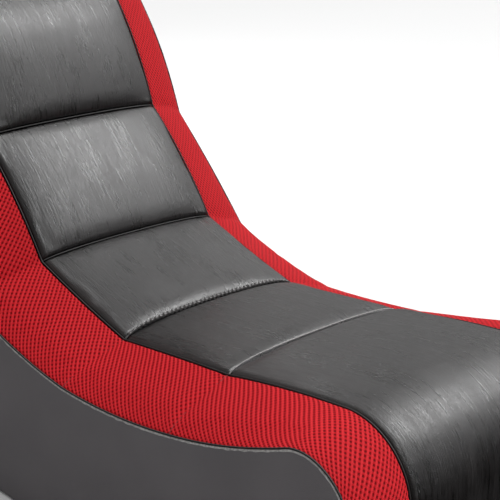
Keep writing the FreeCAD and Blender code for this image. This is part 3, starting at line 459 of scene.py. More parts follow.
@dataclass(frozen=True)
class SpacerMesh:
    """Red open mesh cut on the bias: ribs at 45 degrees to the band, with rows of small holes between; the
    grooves and holes are painted darker as shade.
    """

    name: str = "open_mesh"
    rib: Colour = (0.74, 0.026, 0.034)
    groove_shade: Colour = (0.52, 0.006, 0.013)
    hole: Colour = (0.19, 0.0006, 0.003)
    pitch: float = 0.0045
    hole_pitch: float = 0.0050
    warp_scale: float = 22.0
    warp_reach: float = 1.8
    fibre_scale: Scale = (2600.0, 1100.0, 1.0)
    shade_scale: float = 14.0
    relief_depth: float = 0.0010
    relief_strength: float = 0.75
    gloss: float = 0.06

    def make(self) -> bpy.types.Material:
        """Builds the material."""
        shader = Shader.of(self.name)
        place = shader.cloth_place()
        across, along, _ = shader.parts(place)
        warp = shader.cloud(place, self.warp_scale, 2.0) * self.warp_reach - self.warp_reach / 2
        bias = 2 * math.pi * math.sqrt(0.5)
        rib = ((along - across) * (bias / self.pitch) + warp).sine() * 0.5 + 0.5
        bridge = ((along + across) * (bias / self.hole_pitch) + warp).sine() * 0.5 + 0.5
        hole = (1.0 - rib).between(0.40, 0.85) * (1.0 - bridge).between(0.30, 0.80)
        fibre = shader.cloud(shader.scaled(place, self.fibre_scale), 1.0, 2.0)
        shade = shader.cloud(place, self.shade_scale, 3.0)
        # The darker red in the grooves between ribs and the near black red in the holes are painted shade in
        # the mesh's recesses.
        colour = shader.blend(rib.between(0.1, 0.75) * (0.7 + fibre * 0.4), self.groove_shade, self.rib)
        colour = shader.blend(hole, colour, self.hole)
        shader.set(
            Base_Color=colour,
            Roughness=0.66 + fibre * 0.2 + shade * 0.06,
            Specular_IOR_Level=self.gloss,
        )
        height = rib * 0.8 + bridge * 0.25 + fibre * 0.12 - hole * 0.8
        shader.relief(height, self.relief_depth, self.relief_strength)
        return shader.material


@dataclass(frozen=True)
class Vinyl:
    """Smooth matt vinyl with a fine pebble grain."""

    name: str = "pebbled_vinyl"
    low: Colour = (0.104, 0.096, 0.102)
    high: Colour = (0.120, 0.111, 0.117)
    roughness: float = 0.52
    patch_scale: float = 9.0
    pebble_scale: float = 900.0
    fine_scale: float = 700.0
    relief_depth: float = 0.00022
    gloss: float = 0.45

    def make(self) -> bpy.types.Material:
        """Builds the material."""
        shader = Shader.of(self.name)
        place = shader.object_place()
        patch = shader.cloud(place, self.patch_scale, 5.0)
        pebble = shader.cells(place, self.pebble_scale)
        fine = shader.cloud(place, self.fine_scale, 3.0)
        shader.set(
            Base_Color=shader.blend(patch.between(0.3, 0.7) * 0.8 + fine * 0.2, self.low, self.high),
            Roughness=self.roughness + patch * 0.1 + fine * 0.06,
            Specular_IOR_Level=self.gloss,
        )
        shader.relief(pebble.between(0.0, 0.2) + fine * 0.4, self.relief_depth, 0.5)
        return shader.material


@dataclass(frozen=True)
class Woven:
    """Plain weave of two sets of yarns, for tape, straps, thread and dust cloth; the gaps between yarns are
    painted darker as shade.
    """

    name: str
    low: Colour
    high: Colour
    pitch: float
    roughness: float = 0.85
    fuzz_scale: float = 1500.0
    gloss: float = 0.3

    def make(self) -> bpy.types.Material:
        """Builds the material."""
        shader = Shader.of(self.name)
        place = shader.object_place()
        x, y, z = shader.parts(place)
        turn = 2 * math.pi / self.pitch
        weft = (x * turn).sine() * 0.5 + 0.5
        warp = ((y + z) * turn).sine() * 0.5 + 0.5
        fuzz = shader.cloud(place, self.fuzz_scale, 2.0)
        height = weft.largest(warp) * 0.8 + fuzz * 0.2
        # Colour follows the weave's height: darker where the yarns lie low, which is painted shade in the
        # gaps.
        shader.set(
            Base_Color=shader.blend(height.between(0.3, 0.95), self.low, self.high),
            Roughness=self.roughness - fuzz * 0.1,
            Specular_IOR_Level=self.gloss,
        )
        shader.relief(height, self.pitch * 0.25, 0.6)
        return shader.material


@dataclass(frozen=True)
class Grained:
    """A plain solid with cloudy colour and fine relief: foam, rubber, wood or metal by its numbers."""

    name: str
    low: Colour
    high: Colour
    roughness: float
    stretch: Scale = (40.0, 40.0, 40.0)
    relief_depth: float = 0.0002
    metallic: float = 0.0
    fine_scale: float = 900.0

    def make(self) -> bpy.types.Material:
        """Builds the material."""
        shader = Shader.of(self.name)
        place = shader.object_place()
        coarse = shader.cloud(shader.scaled(place, self.stretch), 1.0, 6.0, 0.6)
        fine = shader.cloud(place, self.fine_scale, 3.0)
        shader.set(
            Base_Color=shader.blend(coarse.between(0.3, 0.7) * 0.8 + fine * 0.2, self.low, self.high),
            Roughness=self.roughness + coarse * 0.12 - fine * 0.06,
            Metallic=self.metallic,
        )
        shader.relief(coarse * 0.6 + fine * 0.4, self.relief_depth, 0.5)
        return shader.material


@dataclass(frozen=True)
class PaleFloor:
    """Plain matt studio floor."""

    name: str = "pale_floor"
    tone: float = 0.90
    roughness: float = 0.8

    def make(self) -> bpy.types.Material:
        """Builds the material."""
        shader = Shader.of(self.name)
        shader.set(Base_Color=(self.tone, self.tone, self.tone, 1.0), Roughness=self.roughness)
        return shader.material


class Finish(Enum):
    """The finishes of the chair, each made once."""

    LEATHER = Leather()
    MESH = SpacerMesh()
    VINYL = Vinyl()
    PLYWOOD = Grained("birch_ply", (0.42, 0.27, 0.14), (0.66, 0.48, 0.29), 0.6, (14.0, 14.0, 180.0))
    FOAM = Grained("open_foam", (0.56, 0.53, 0.42), (0.74, 0.71, 0.60), 0.9, (160.0,) * 3, 0.0006)
    WEBBING = Woven("strap_weave", (0.012,) * 3, (0.06,) * 3, 0.0024)
    STRIP = Grained("ribbed_strip", (0.012,) * 3, (0.03,) * 3, 0.7, (90.0,) * 3)
    DUST_CLOTH = Woven("thin_cloth", (0.012, 0.012, 0.013), (0.045, 0.045, 0.047), 0.0011)
    TAPE = Woven("tape_weave", (0.012,) * 3, (0.05,) * 3, 0.0009)
    ZIP_METAL = Grained("polished_zip", (0.30, 0.30, 0.31), (0.50, 0.50, 0.51), 0.28, (220.0,) * 3,
                        0.00004, 1.0)
    # Welt leather much lighter than the channels: painted highlight on the seat seam's rolled rim.
    WELT = Grained("welt_painted_highlight", (0.020, 0.018, 0.018), (0.20, 0.19, 0.19), 0.34, (420.0,) * 3,
                   0.0004)
    # Light grey fold: painted highlight where the panel's rounded top fold catches the light.
    FOLD = Grained("fold_painted_highlight", (0.16, 0.155, 0.15), (0.46, 0.45, 0.44), 0.42, (320.0,) * 3, 0.0004)
    # Near black: painted shade in the seam grooves and creases, and the black stitch thread.
    BINDING = Grained("black_seam_shade_and_thread", (0.004, 0.004, 0.004), (0.012, 0.010, 0.010), 0.7)
    # Light grey line on the nose seam: painted highlight where the seam's edge catches light.
    THREAD = Grained("nose_seam_painted_highlight", (0.14, 0.13, 0.13), (0.42, 0.40, 0.40), 0.45, (420.0,) * 3)
    RED_THREAD = Grained("red_thread", (0.20, 0.002, 0.005), (0.42, 0.006, 0.012), 0.7, (420.0,) * 3)
    FLOOR = PaleFloor()

    def material(self) -> bpy.types.Material:
        """The finish's material, made the first time that it is asked for."""
        return bpy.data.materials.get(self.value.name) or self.value.make()


# Mesh tools


def new_piece(
    name: str, mesh: bpy.types.Mesh, finish: Finish, smooth: bool = True
) -> bpy.types.Object:
    """Links a mesh as a shown piece with one finish."""
    mesh.materials.clear()
    mesh.materials.append(finish.material())
    if smooth:
        mesh.shade_smooth()
    else:
        mesh.shade_flat()
    piece = bpy.data.objects.new(name, mesh)
    bpy.context.scene.collection.objects.link(piece)
    return piece


def mesh_from(bm: bmesh.types.BMesh, name: str) -> bpy.types.Mesh:
    """Writes a bmesh into a new mesh and frees it."""
    mesh = bpy.data.meshes.new(name)
    bm.to_mesh(mesh)
    bm.free()
    return mesh


def settle(piece: bpy.types.Object) -> None:
    """Applies a piece's modifiers, so that its mesh holds their result."""
    graph = bpy.context.evaluated_depsgraph_get()
    made = bpy.data.meshes.new_from_object(
        piece.evaluated_get(graph), preserve_all_data_layers=True, depsgraph=graph
    )
    piece.modifiers.clear()
    piece.data = made


def rounded(piece: bpy.types.Object) -> None:
    """Divides a closed padded form once and keeps the result."""
    piece.data.shade_smooth()
    finish = piece.modifiers.new("round", "SUBSURF")
    finish.levels = finish.render_levels = 1
    settle(piece)


def edge_rise(distance: float, run: float, power: float) -> float:
    """How full a channel stands at a distance from its seam: 0 on the seam, 1 past the run."""
    share = min(max(distance / run, 0.0), 1.0)
    return (1.0 - (1.0 - share) ** 2) ** power


@dataclass
class Sheet:
    """A grid skin over the sitting line, pinned along chosen lines and blown up by cloth simulation.

    The surface function turns a place across the sheet (-1 to 1) and along it (0 to 1) into a point.
    """

    name: str
    columns: int
    rows: int
    surface: Callable[[float, float], Vector]
    map_place: Callable[[float, float], tuple[float, float]]
    pinned: Callable[[float, float], float]
    finish: Finish
    cap: float
    pressure: float
    places: list[tuple[float, float]] = field(default_factory=list)
    last_frame: int = 20
    mass: float = 0.25
    stretch_stiffness: float = 18.0
    shear_stiffness: float = 8.0
    bending_stiffness: float = 0.6
    shrink: float = -0.006

    def build(self) -> bpy.types.Object:
        """Builds the grid as an object with its map and its pins."""
        bm = bmesh.new()
        bmesh.ops.create_grid(bm, x_segments=self.columns, y_segments=self.rows, size=1.0)
        chart = bm.loops.layers.uv.new("cloth")
        places = {vert: (vert.co.x, (vert.co.y + 1) / 2) for vert in bm.verts}
        for face in bm.faces:
            for loop in face.loops:
                loop[chart].uv = self.map_place(*places[loop.vert])
        for vert, (u, v) in places.items():
            vert.co = self.surface(u, v)
        bm.verts.index_update()
        self.places = [places[vert] for vert in bm.verts]
        pins = [self.pinned(*place) for place in self.places]
        piece = new_piece(self.name, mesh_from(bm, self.name), self.finish)
        group = piece.vertex_groups.new(name="pins")
        for index, weight in enumerate(pins):
            if weight > 0:
                group.add([index], weight, "REPLACE")
        return piece

    def blow(self, piece: bpy.types.Object) -> None:
        """Runs the cloth simulation and keeps its result within the cap."""
        before = [vert.co.copy() for vert in piece.data.vertices]
        cloth = piece.modifiers.new("cloth", "CLOTH")
        settings = cloth.settings
        settings.quality = 6
        settings.mass = self.mass
        settings.tension_stiffness = settings.compression_stiffness = self.stretch_stiffness
        settings.shear_stiffness = self.shear_stiffness
        settings.bending_stiffness = self.bending_stiffness
        settings.use_pressure = True
        settings.uniform_pressure_force = self.pressure
        settings.vertex_group_mass = "pins"
        settings.pin_stiffness = 1.0
        settings.effector_weights.gravity = 0.0
        settings.shrink_min = self.shrink
        cloth.collision_settings.use_collision = False
        cloth.point_cache.frame_start, cloth.point_cache.frame_end = 1, self.last_frame
        scene = bpy.context.scene
        scene.frame_start, scene.frame_end = 1, self.last_frame
        for step in range(1, self.last_frame + 1):
            scene.frame_set(step)
        settle(piece)
        scene.frame_set(1)
        for vert, start in zip(piece.data.vertices, before):
            move = vert.co - start
            if move.length > self.cap:
                move *= self.cap / move.length
            vert.co = start + move


def close_below(
    mesh: bpy.types.Mesh, places: Sequence[tuple[float, float]], under: Callable[[float, float], Vector]
) -> None:
    """Closes an open skin into a padded form: a bottom under it, joined to it by walls.

    Args:
        mesh: The skin, changed in place.
        places: Each vertex's place across and along the skin.
        under: The bottom's point for a place.
    """
    bm = bmesh.new()
    bm.from_mesh(mesh)
    bm.verts.ensure_lookup_table()
    rim = [edge for edge in bm.edges if edge.is_boundary]
    made = bmesh.ops.duplicate(bm, geom=[*bm.verts, *bm.edges, *bm.faces])
    bm.verts.index_update()
    for vert, place in zip(list(bm.verts)[:len(places)], places):
        made["vert_map"][vert].co = under(*place)
    bottom = [item for item in made["geom"] if isinstance(item, bmesh.types.BMFace)]
    bmesh.ops.reverse_faces(bm, faces=bottom)
    lower_rim = [made["edge_map"][edge] for edge in rim]
    bmesh.ops.bridge_loops(bm, edges=rim + lower_rim)
    bmesh.ops.recalc_face_normals(bm, faces=bm.faces)
    bm.to_mesh(mesh)
    bm.free()


def tube(
    name: str, points: Sequence[Vector], radius: float, finish: Finish,
    swell: Callable[[float], float] | None = None, sides: int = 3,
) -> bpy.types.Object:
    """A welt or thread along points.

    Args:
        name: The piece's name.
        points: Points along its middle.
        radius: Its radius in metres.
        finish: Its finish.
        swell: Share of the radius at a length along it, or None for an even welt.
        sides: Resolution of its round section.
    Returns:
        The piece, as a mesh.
    """
    curve = bpy.data.curves.new(name, "CURVE")
    curve.dimensions = "3D"
    curve.bevel_depth = radius
    curve.bevel_resolution = sides
    curve.use_fill_caps = True
    spline = curve.splines.new("POLY")
    spline.points.add(len(points) - 1)
    travelled = 0.0
    for index, point in enumerate(points):
        travelled += (point - points[index - 1]).length if index else 0.0
        spline.points[index].co = (*point, 1.0)
        spline.points[index].radius = swell(travelled) if swell else 1.0
    holder = bpy.data.objects.new(name + "_line", curve)
    mesh = bpy.data.meshes.new_from_object(holder)
    bpy.data.objects.remove(holder)
    return new_piece(name, mesh, finish)


def copied(node: str, name: str) -> bpy.types.Mesh:
    """A merged copy of a CAD node's mesh."""
    bm = bmesh.new()
    bm.from_mesh(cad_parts[node].data)
    bmesh.ops.remove_doubles(bm, verts=bm.verts, dist=MERGE_DISTANCE)
    bmesh.ops.dissolve_limit(
        bm, angle_limit=FLAT_ANGLE, verts=bm.verts, edges=bm.edges, delimit={"NORMAL"}
    )
    return mesh_from(bm, name)


def seat_on(piece: bpy.types.Object, slot: str, *nodes: str) -> bpy.types.Object:
    """Rides a piece on the shell, in place of the named nodes."""
    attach(piece, SHELL)
    if nodes:
        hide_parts(*nodes)
    log.info("%s: %d faces, on %s", piece.name, len(piece.data.polygons), SHELL)
    return piece


# Sub-assemblies


@dataclass(frozen=True)
class Seam:
    """How a channel meets a sewn seam: run to full height, sharpness, and puckers along it."""

    run: float
    power: float
    crown: float = 0.012
    pucker: float = 0.0002
    pucker_reach: float = 0.022


@dataclass
class ChannelCushions:
    """The seven leather channels from the head roll to the nose."""

    line: SittingLine
    half_width: float = 0.1308
    puff: float = 0.0085
    grid: float = 0.0046
    depth: float = 0.030
    cap: float = 0.0020
    pressure: float = 4.0
    fill: float = 0.75
    pucker_pitch: float = 0.011
    pucker_turns: float = 18.0
    pucker_gain: float = 1.6
    channel_change: float = 9.0
    side_roundness: float = 2.4
    crown_power: float = 0.62
    puff_power: float = 0.42
    underside_inset: float = 0.002
    stitch_reach: float = 0.003
    calm_margin: float = 0.02
    drift_height: float = 0.0011
    drift_scale: Scale = (14.0, 12.0, 3.0)
    channels: dict[str, tuple[str, ...]] = field(default_factory=lambda: {
        "head": ("roll_rear", "roll_front", "head_face"),
        "shoulder": ("shoulder",),
        "mid_back": ("mid_back",),
        "lumbar": ("lumbar",),
        "hip": ("hip",),
        "seat": ("seat",),
        "nose": ("nose_slope", "nose_round", "nose_face"),
    })
    seams: dict[str, Seam] = field(default_factory=lambda: {
        "head_hem": Seam(0.020, 0.7, 0.002),
        "shoulder": Seam(0.030, 0.6, 0.012, 0.0004),
        "mid_back": Seam(0.058, 1.05, 0.012, 0.0008, 0.036),
        "lumbar": Seam(0.024, 0.5, 0.014),
        "hip": Seam(0.024, 0.5, 0.014),
        "seat": Seam(0.017, 0.5, 0.012, 0.0004),
        "nose": Seam(0.026, 0.6, 0.009),
        "nose_hem": Seam(0.016, 0.7, 0.004),
    })
    gap: float = 0.00015

    def ends(self, name: str) -> tuple[Seam, Seam]:
        """The seams above and below a channel."""
        names = list(self.channels)
        above = "head_hem" if name == "head" else name
        after = names.index(name) + 1
        below = names[after] if after < len(names) else "nose_hem"
        return self.seams[above], self.seams[below]

    def fullness(self, u: float, power: float) -> float:
        """How full the stuffing stands across the chair, drawn in to nothing at the side."""
        return max(0.0, 1.0 - abs(u) ** self.side_roundness) ** power

    def height(self, name: str, path: Path, u: float, distance: float) -> float:
        """Height of a channel's leather over the sitting line.

        Args:
            name: The channel.
            path: Its path.
            u: Place across, from -1 to 1.
            distance: Place along, in metres.
        Returns:
            The height in metres.
        """
        above, below = self.ends(name)
        left = path.length - distance
        full = edge_rise(distance, above.run, above.power) * edge_rise(left, below.run, below.power)
        share = distance / path.length
        crown = above.crown + (below.crown - above.crown) * share
        puff = self.puff * self.fullness(u, self.puff_power) * full
        return crown * self.fullness(u, self.crown_power) + puff

    def point(self, name: str, path: Path, u: float, v: float) -> Vector:
        """Point of the skin before it is blown up."""
        distance = self.gap + v * (path.length - 2 * self.gap)
        spot = path.off(distance, self.height(name, path, u, distance))
        return Vector((u * self.half_width, spot.real, spot.imag))

    def under(self, path: Path, u: float, v: float) -> Vector:
        """Point of a channel's flat underside."""
        spot = path.off(self.gap + v * (path.length - 2 * self.gap), -self.depth)
        return Vector((u * (self.half_width - self.underside_inset), spot.real, spot.imag))

    def pucker(self, piece: bpy.types.Object, name: str, path: Path) -> None:
        """Gathers the leather into short folds square to its seams, and lets it wander a little."""
        above, below = self.ends(name)
        chart = piece.data.uv_layers["cloth"].data
        places = {loop.vertex_index: chart[loop.index].uv for loop in piece.data.loops}
        start = self.line.distance_to(self.channels[name][0])
        piece.data.update()
        normals = [Vector(item.vector) for item in piece.data.vertex_normals]
        for index, vert in enumerate(piece.data.vertices):
            x, along = places[index]
            distance = along - start
            move = 0.0
            for seam, away in ((above, distance), (below, path.length - distance)):
                near = max(0.0, 1.0 - away / seam.pucker_reach)
                spot = (x / self.pucker_pitch, away * self.pucker_turns, start * self.channel_change)
                fade = near * near * min(1.0, away / self.stitch_reach)
                move += seam.pucker * fade * noise.noise(Vector(spot)) * self.pucker_gain
            wide, long, slice_height = self.drift_scale
            drift = noise.noise(Vector((x * wide, along * long, slice_height)))
            edge = 1.0
            for margin in (self.half_width - abs(x), distance, path.length - distance):
                edge *= min(1.0, margin / self.calm_margin)
            move += self.drift_height * drift * max(edge, 0.0)
            vert.co += normals[index] * move

    def build(self) -> None:
        """Builds, blows up, gathers and closes every channel."""
        for name, names in self.channels.items():
            path = self.line.path(*names)
            start = self.line.distance_to(names[0])
            skin = Sheet(
                name + "_channel",
                round(2 * self.half_width / self.grid),
                round(path.length / self.grid),
                lambda u, v: self.point(name, path, u, v),
                lambda u, v: (u * self.half_width, start + v * path.length),
                lambda u, v: 1.0 if abs(u) > 0.999 or v < 0.001 or v > 0.999 else 0.0,
                Finish.LEATHER, self.cap, self.pressure,
            )
            piece = skin.build()
            skin.blow(piece)
            self.pucker(piece, name, path)
            close_below(piece.data, skin.places, lambda u, v: self.under(path, u, v))
            rounded(piece)
            seat_on(piece, "black_leather", name + "_cushion")


@dataclass
class MeshBands:
    """The red mesh borders, one on each side, sewn across wherever a channel ends."""

    line: SittingLine
    inner: float = 0.13115
    outer: float = 0.2148
    swell: float = 0.004
    belly: float = 1.3
    leave_share: float = 0.30
    arrive_share: float = 0.84
    arrive_drop: float = 0.66
    pinch: float = 0.0022
    pinch_reach: float = 0.016
    depth: float = 0.010
    girth: float = 0.092
    grid: float = 0.005
    columns: int = 20
    cap: float = 0.0009
    pressure: float = 3.0
    fill: float = 0.8
    underside_inset: float = 0.004
    seam_shade_radius: float = 0.0008
    seam_shade_lift: float = 0.0003
    seam_shade_step: float = 0.004
    thread_radius: float = 0.0006
    thread_pitch: float = 0.0036
    thread_beat: float = 0.35
    thread_reach: float = 0.97
    thread_pieces: int = 40
    cross_seams: tuple[str, ...] = ("shoulder", "mid_back", "lumbar", "hip", "seat", "nose_slope")

    def __post_init__(self) -> None:
        """Finds the cross seams along the band."""
        self.path = self.line.whole()
        self.marks = [self.line.distance_to(name) for name in self.cross_seams]
        self.marks += [0.0, self.path.length]

    def near_seam(self, distance: float) -> float:
        """1 on a cross seam, 0 beyond its reach."""
        away = min(abs(distance - mark) for mark in self.marks)
        return max(0.0, 1.0 - away / self.pinch_reach) ** 2

    def point(self, side: int, u: float, v: float) -> Vector:
        """Point of the band: u from the leather edge to the panel edge, v down the chair."""
        distance = v * self.path.length
        drop = self.path.drop(distance)
        swell = self.swell - self.pinch * self.near_seam(distance)
        width = self.outer - self.inner
        t = (u + 1) / 2
        s = 1 - t
        leave = complex(width * self.leave_share, swell * self.belly - drop * self.leave_share)
        arrive = complex(width * self.arrive_share, swell * self.belly - drop * self.arrive_drop)
        spot = leave * 3 * s * s * t + arrive * 3 * s * t * t + complex(width, -drop) * t ** 3
        place = self.path.off(distance, spot.imag)
        return Vector((side * (self.inner + spot.real), place.real, place.imag))

    def edge(self, side: int, v: float, lift: float) -> Vector:
        """Point on the seam between a band and its panel, lifted off it."""
        distance = v * self.path.length
        place = self.path.off(distance, lift - self.path.drop(distance))
        return Vector((side * (self.outer + lift * 0.3), place.real, place.imag))

    def hem(self, side: int, v: float, lift: float) -> Vector:
        """Point on the seam between a band and the leather, lifted off it."""
        place = self.path.off(v * self.path.length, lift)
        return Vector((side * (self.inner - 0.0002), place.real, place.imag))

    def threads(self, side: int, word: str) -> None:
        """Builds the dark line of painted shade in the seam by the leather, and the thread over each cross
        seam.
        """
        count = round(self.path.length / self.seam_shade_step)
        points = [self.hem(side, index / count, self.seam_shade_lift) for index in range(count + 1)]
        # A near black tube where the leather meets the band: painted shade in the seam groove.
        shade_line = tube("leather_seam_shade_" + word, points, self.seam_shade_radius, Finish.BINDING, None, 2)
        seat_on(shade_line, "black_leather")
        rate = 2 * math.pi / self.thread_pitch
        for name, mark in zip(self.cross_seams, self.marks):
            v = mark / self.path.length
            shares = [2 * index / self.thread_pieces - 1 for index in range(self.thread_pieces + 1)]
            points = [self.point(side, share * self.thread_reach, v) for share in shares]
            thread = tube(
                name + "_cross_thread_" + word, points, self.thread_radius, Finish.RED_THREAD,
                lambda travelled: 1.0 + self.thread_beat * math.sin(travelled * rate), 2,
            )
            seat_on(thread, "red_mesh")

    def under(self, side: int, u: float, v: float) -> Vector:
        """Point of the band's underside, straight from the leather edge to the panel edge."""
        distance = v * self.path.length
        drop = self.path.drop(distance)
        t = (u + 1) / 2
        place = self.path.off(distance, -self.depth - drop * t)
        across = self.inner + (self.outer - self.underside_inset - self.inner) * t
        return Vector((side * across, place.real, place.imag))

    def build(self) -> None:
        """Builds both bands and their seams."""
        rows = round(self.path.length / self.grid)
        for side, word in ((-1, "right"), (1, "left")):
            skin = Sheet(
                "mesh_border_" + word, self.columns, rows,
                lambda u, v: self.point(side, u * -side, v),
                lambda u, v: ((u * -side + 1) / 2 * self.girth, v * self.path.length),
                lambda u, v: 1.0 if abs(u) > 0.999 or self.near_seam(v * self.path.length) > 0.8 else 0.0,
                Finish.MESH, self.cap, self.pressure,
            )
            piece = skin.build()
            skin.blow(piece)
            close_below(piece.data, skin.places, lambda u, v: self.under(side, u * -side, v))
            rounded(piece)
            seat_on(piece, "red_mesh", "mesh_band_" + word)
            self.threads(side, word)


@dataclass
class SidePanels:
    """The smooth vinyl panels over the boards, with a gathered fold along their top edge, painted light grey
    as a highlight, and a dark line of painted shade in the seam above it.
    """

    line: SittingLine
    bands: MeshBands
    fold_radius: float = 0.0019
    fold_least: float = 0.78
    fold_beat: float = 0.5
    pucker: float = 0.008
    seam_shade_radius: float = 0.0010
    seam_shade_lift: float = 0.0006
    edge_round: float = 0.0012
    step: float = 0.003
    face: float = 0.215

    def gathers(self, travelled: float, side: int) -> float:
        """Share of the fold's radius at a length along it."""
        wave = noise.noise(Vector((travelled / self.pucker, side, 0.0)))
        return self.fold_least + self.fold_beat * wave

    def build(self) -> None:
        """Builds both panels and both folds."""
        for side, word in ((-1, "right"), (1, "left")):
            mesh = copied("side_cover_" + word, "side_panel_" + word)
            bm = bmesh.new()
            bm.from_mesh(mesh)
            outer = [
                edge for edge in bm.edges
                if all(abs(abs(vert.co.x) - self.face) < 1e-4 for vert in edge.verts)
            ]
            bmesh.ops.bevel(
                bm, geom=outer, offset=self.edge_round, offset_type="OFFSET", segments=3, profile=0.5,
                affect="EDGES", material=-1,
            )
            bm.to_mesh(mesh)
            bm.free()
            panel = new_piece("side_panel_" + word, mesh, Finish.VINYL, smooth=False)
            seat_on(panel, "grey_vinyl", "side_cover_" + word)
            path = self.bands.path
            count = round(path.length / self.step)
            points = []
            for index in range(count + 1):
                distance = index / count * path.length
                spot = path.off(distance, -path.drop(distance) - self.fold_radius * 0.9)
                points.append(Vector((side * (self.face - self.fold_radius * 0.4), spot.real, spot.imag)))
            # The fold's light grey is a painted highlight, not the vinyl's own colour.
            fold = tube(
                "panel_fold_" + word, points, self.fold_radius, Finish.FOLD,
                lambda travelled: self.gathers(travelled, side),
            )
            seat_on(fold, "grey_vinyl")
            # A near black tube along the band's lower seam: painted shade in the seam groove above the fold.
            shadow = [
                self.bands.edge(side, index / count, self.seam_shade_lift) for index in range(count + 1)
            ]
            shade_line = tube("panel_seam_shade_" + word, shadow, self.seam_shade_radius, Finish.BINDING, None, 2)
            seat_on(shade_line, "grey_vinyl")


@dataclass
class SeamWelts:
    """The sewn seams between channels: a gathered welt at the seat seam and a thin line at the nose seam, both
    lighter as painted highlights, and fine near black lines elsewhere as painted shade in the seam creases.
    """

    cushions: ChannelCushions
    line: SittingLine
    steps: int = 360
    end_inset: float = 0.0015
    end_dip: float = 0.25
    shade_line_radii: dict[str, float] = field(default_factory=lambda: {
        "hip": 0.0008, "lumbar": 0.0008, "mid_back": 0.0010, "shoulder": 0.0010,
    })
    welt_radius: float = 0.0025
    welt_lift: float = 0.0048
    welt_twist: float = 0.26
    gather_pitch: float = 0.0062
    gather_depth: float = 0.24
    taper_reach: float = 0.060
    taper_least: float = 0.35
    stitch_radius: float = 0.0008
    stitch_length: float = 0.0034
    stitch_lift: float = 0.0040
    stitch_step: int = 9
    stitch_margin: int = 24
    stitch_offset: Vector = field(default_factory=lambda: Vector((0.0, -0.0026, -0.0002)))
    stitch_lean: float = 62.0
    stitch_slant: float = 24.0
    thread_radius: float = 0.0008
    thread_lift: float = 0.0030
    thread_pitch: float = 0.005
    thread_beat: float = 0.25

    def across(self, name: str, lift: float) -> list[Vector]:
        """Points along the seam above a channel, from side to side."""
        path = self.line.path(*self.cushions.channels[name])
        points = []
        for index in range(self.steps + 1):
            u = -1 + 2 * index / self.steps
            low = lift * edge_rise(1.0 - abs(u), self.end_dip, 0.7)
            spot = path.off(0.0, self.cushions.height(name, path, u, 0.0) + low)
            points.append(Vector((u * (self.cushions.half_width - self.end_inset), spot.real, spot.imag)))
        return points

    def taper(self, travelled: float) -> float:
        """Share of a welt's radius at a length along it: it thins out towards both sides."""
        end = min(travelled, 2 * self.cushions.half_width - travelled)
        full = edge_rise(max(end, 0.0), self.taper_reach, 0.8)
        return self.taper_least + (1 - self.taper_least) * full

    def gathered(self) -> None:
        """Builds the gathered welt of the seat seam: a round cord of leather, drawn in by every stitch, in a
        lighter finish that is a painted highlight on its rim.
        """
        points = self.across("seat", self.welt_lift)
        half = self.cushions.half_width
        rate = 2 * math.pi / self.gather_pitch
        least = 1 - self.gather_depth
        piece = tube(
            "seat_seam_welt", points, self.welt_radius, Finish.WELT,
            lambda travelled: self.taper(travelled) * (least + self.gather_depth * math.sin(rate * travelled)),
            5,
        )
        for vert in piece.data.vertices:
            share = min(max((vert.co.x / half + 1) / 2, 0.0), 1.0)
            middle = points[round(share * (len(points) - 1))]
            turn = math.atan2(vert.co.z - middle.z, vert.co.y - middle.y)
            twist = self.welt_twist * math.sin(rate * vert.co.x + turn)
            vert.co += (vert.co - middle) * Vector((0.0, twist, twist))
        seat_on(piece, "black_leather")

    def stitches(self) -> None:
        """Builds the row of stitches under the gathered welt."""
        bm = bmesh.new()
        points = self.across("seat", self.stitch_lift)
        turn = Matrix.Rotation(math.radians(self.stitch_lean), 4, "X")
        slant = Matrix.Rotation(math.radians(self.stitch_slant), 4, "Y")
        for point in points[self.stitch_margin:-self.stitch_margin:self.stitch_step]:
            made = bmesh.ops.create_cone(
                bm, cap_ends=True, segments=6, radius1=self.stitch_radius, radius2=self.stitch_radius,
                depth=self.stitch_length,
            )
            lie = Matrix.Translation(point + self.stitch_offset) @ turn @ slant
            bmesh.ops.transform(bm, matrix=lie, verts=made["verts"])
        piece = new_piece("seat_seam_stitches", mesh_from(bm, "seat_seam_stitches"), Finish.BINDING)
        seat_on(piece, "black_leather")

    def build(self) -> None:
        """Builds the welts."""
        rate = 2 * math.pi / self.thread_pitch
        # The nose seam's light grey line is a painted highlight on the seam's edge.
        thread = tube(
            "nose_seam_welt", self.across("nose", self.thread_lift), self.thread_radius, Finish.THREAD,
            lambda travelled: 1.0 + self.thread_beat * math.sin(rate * travelled),
        )
        seat_on(thread, "black_leather")
        # Near black lines on the other seams: painted shade in the creases between channels.
        for name, radius in self.shade_line_radii.items():
            welt = tube(name + "_seam_welt", self.across(name, 0.0), radius, Finish.BINDING)
            seat_on(welt, "black_leather")
        self.gathered()
        self.stitches()


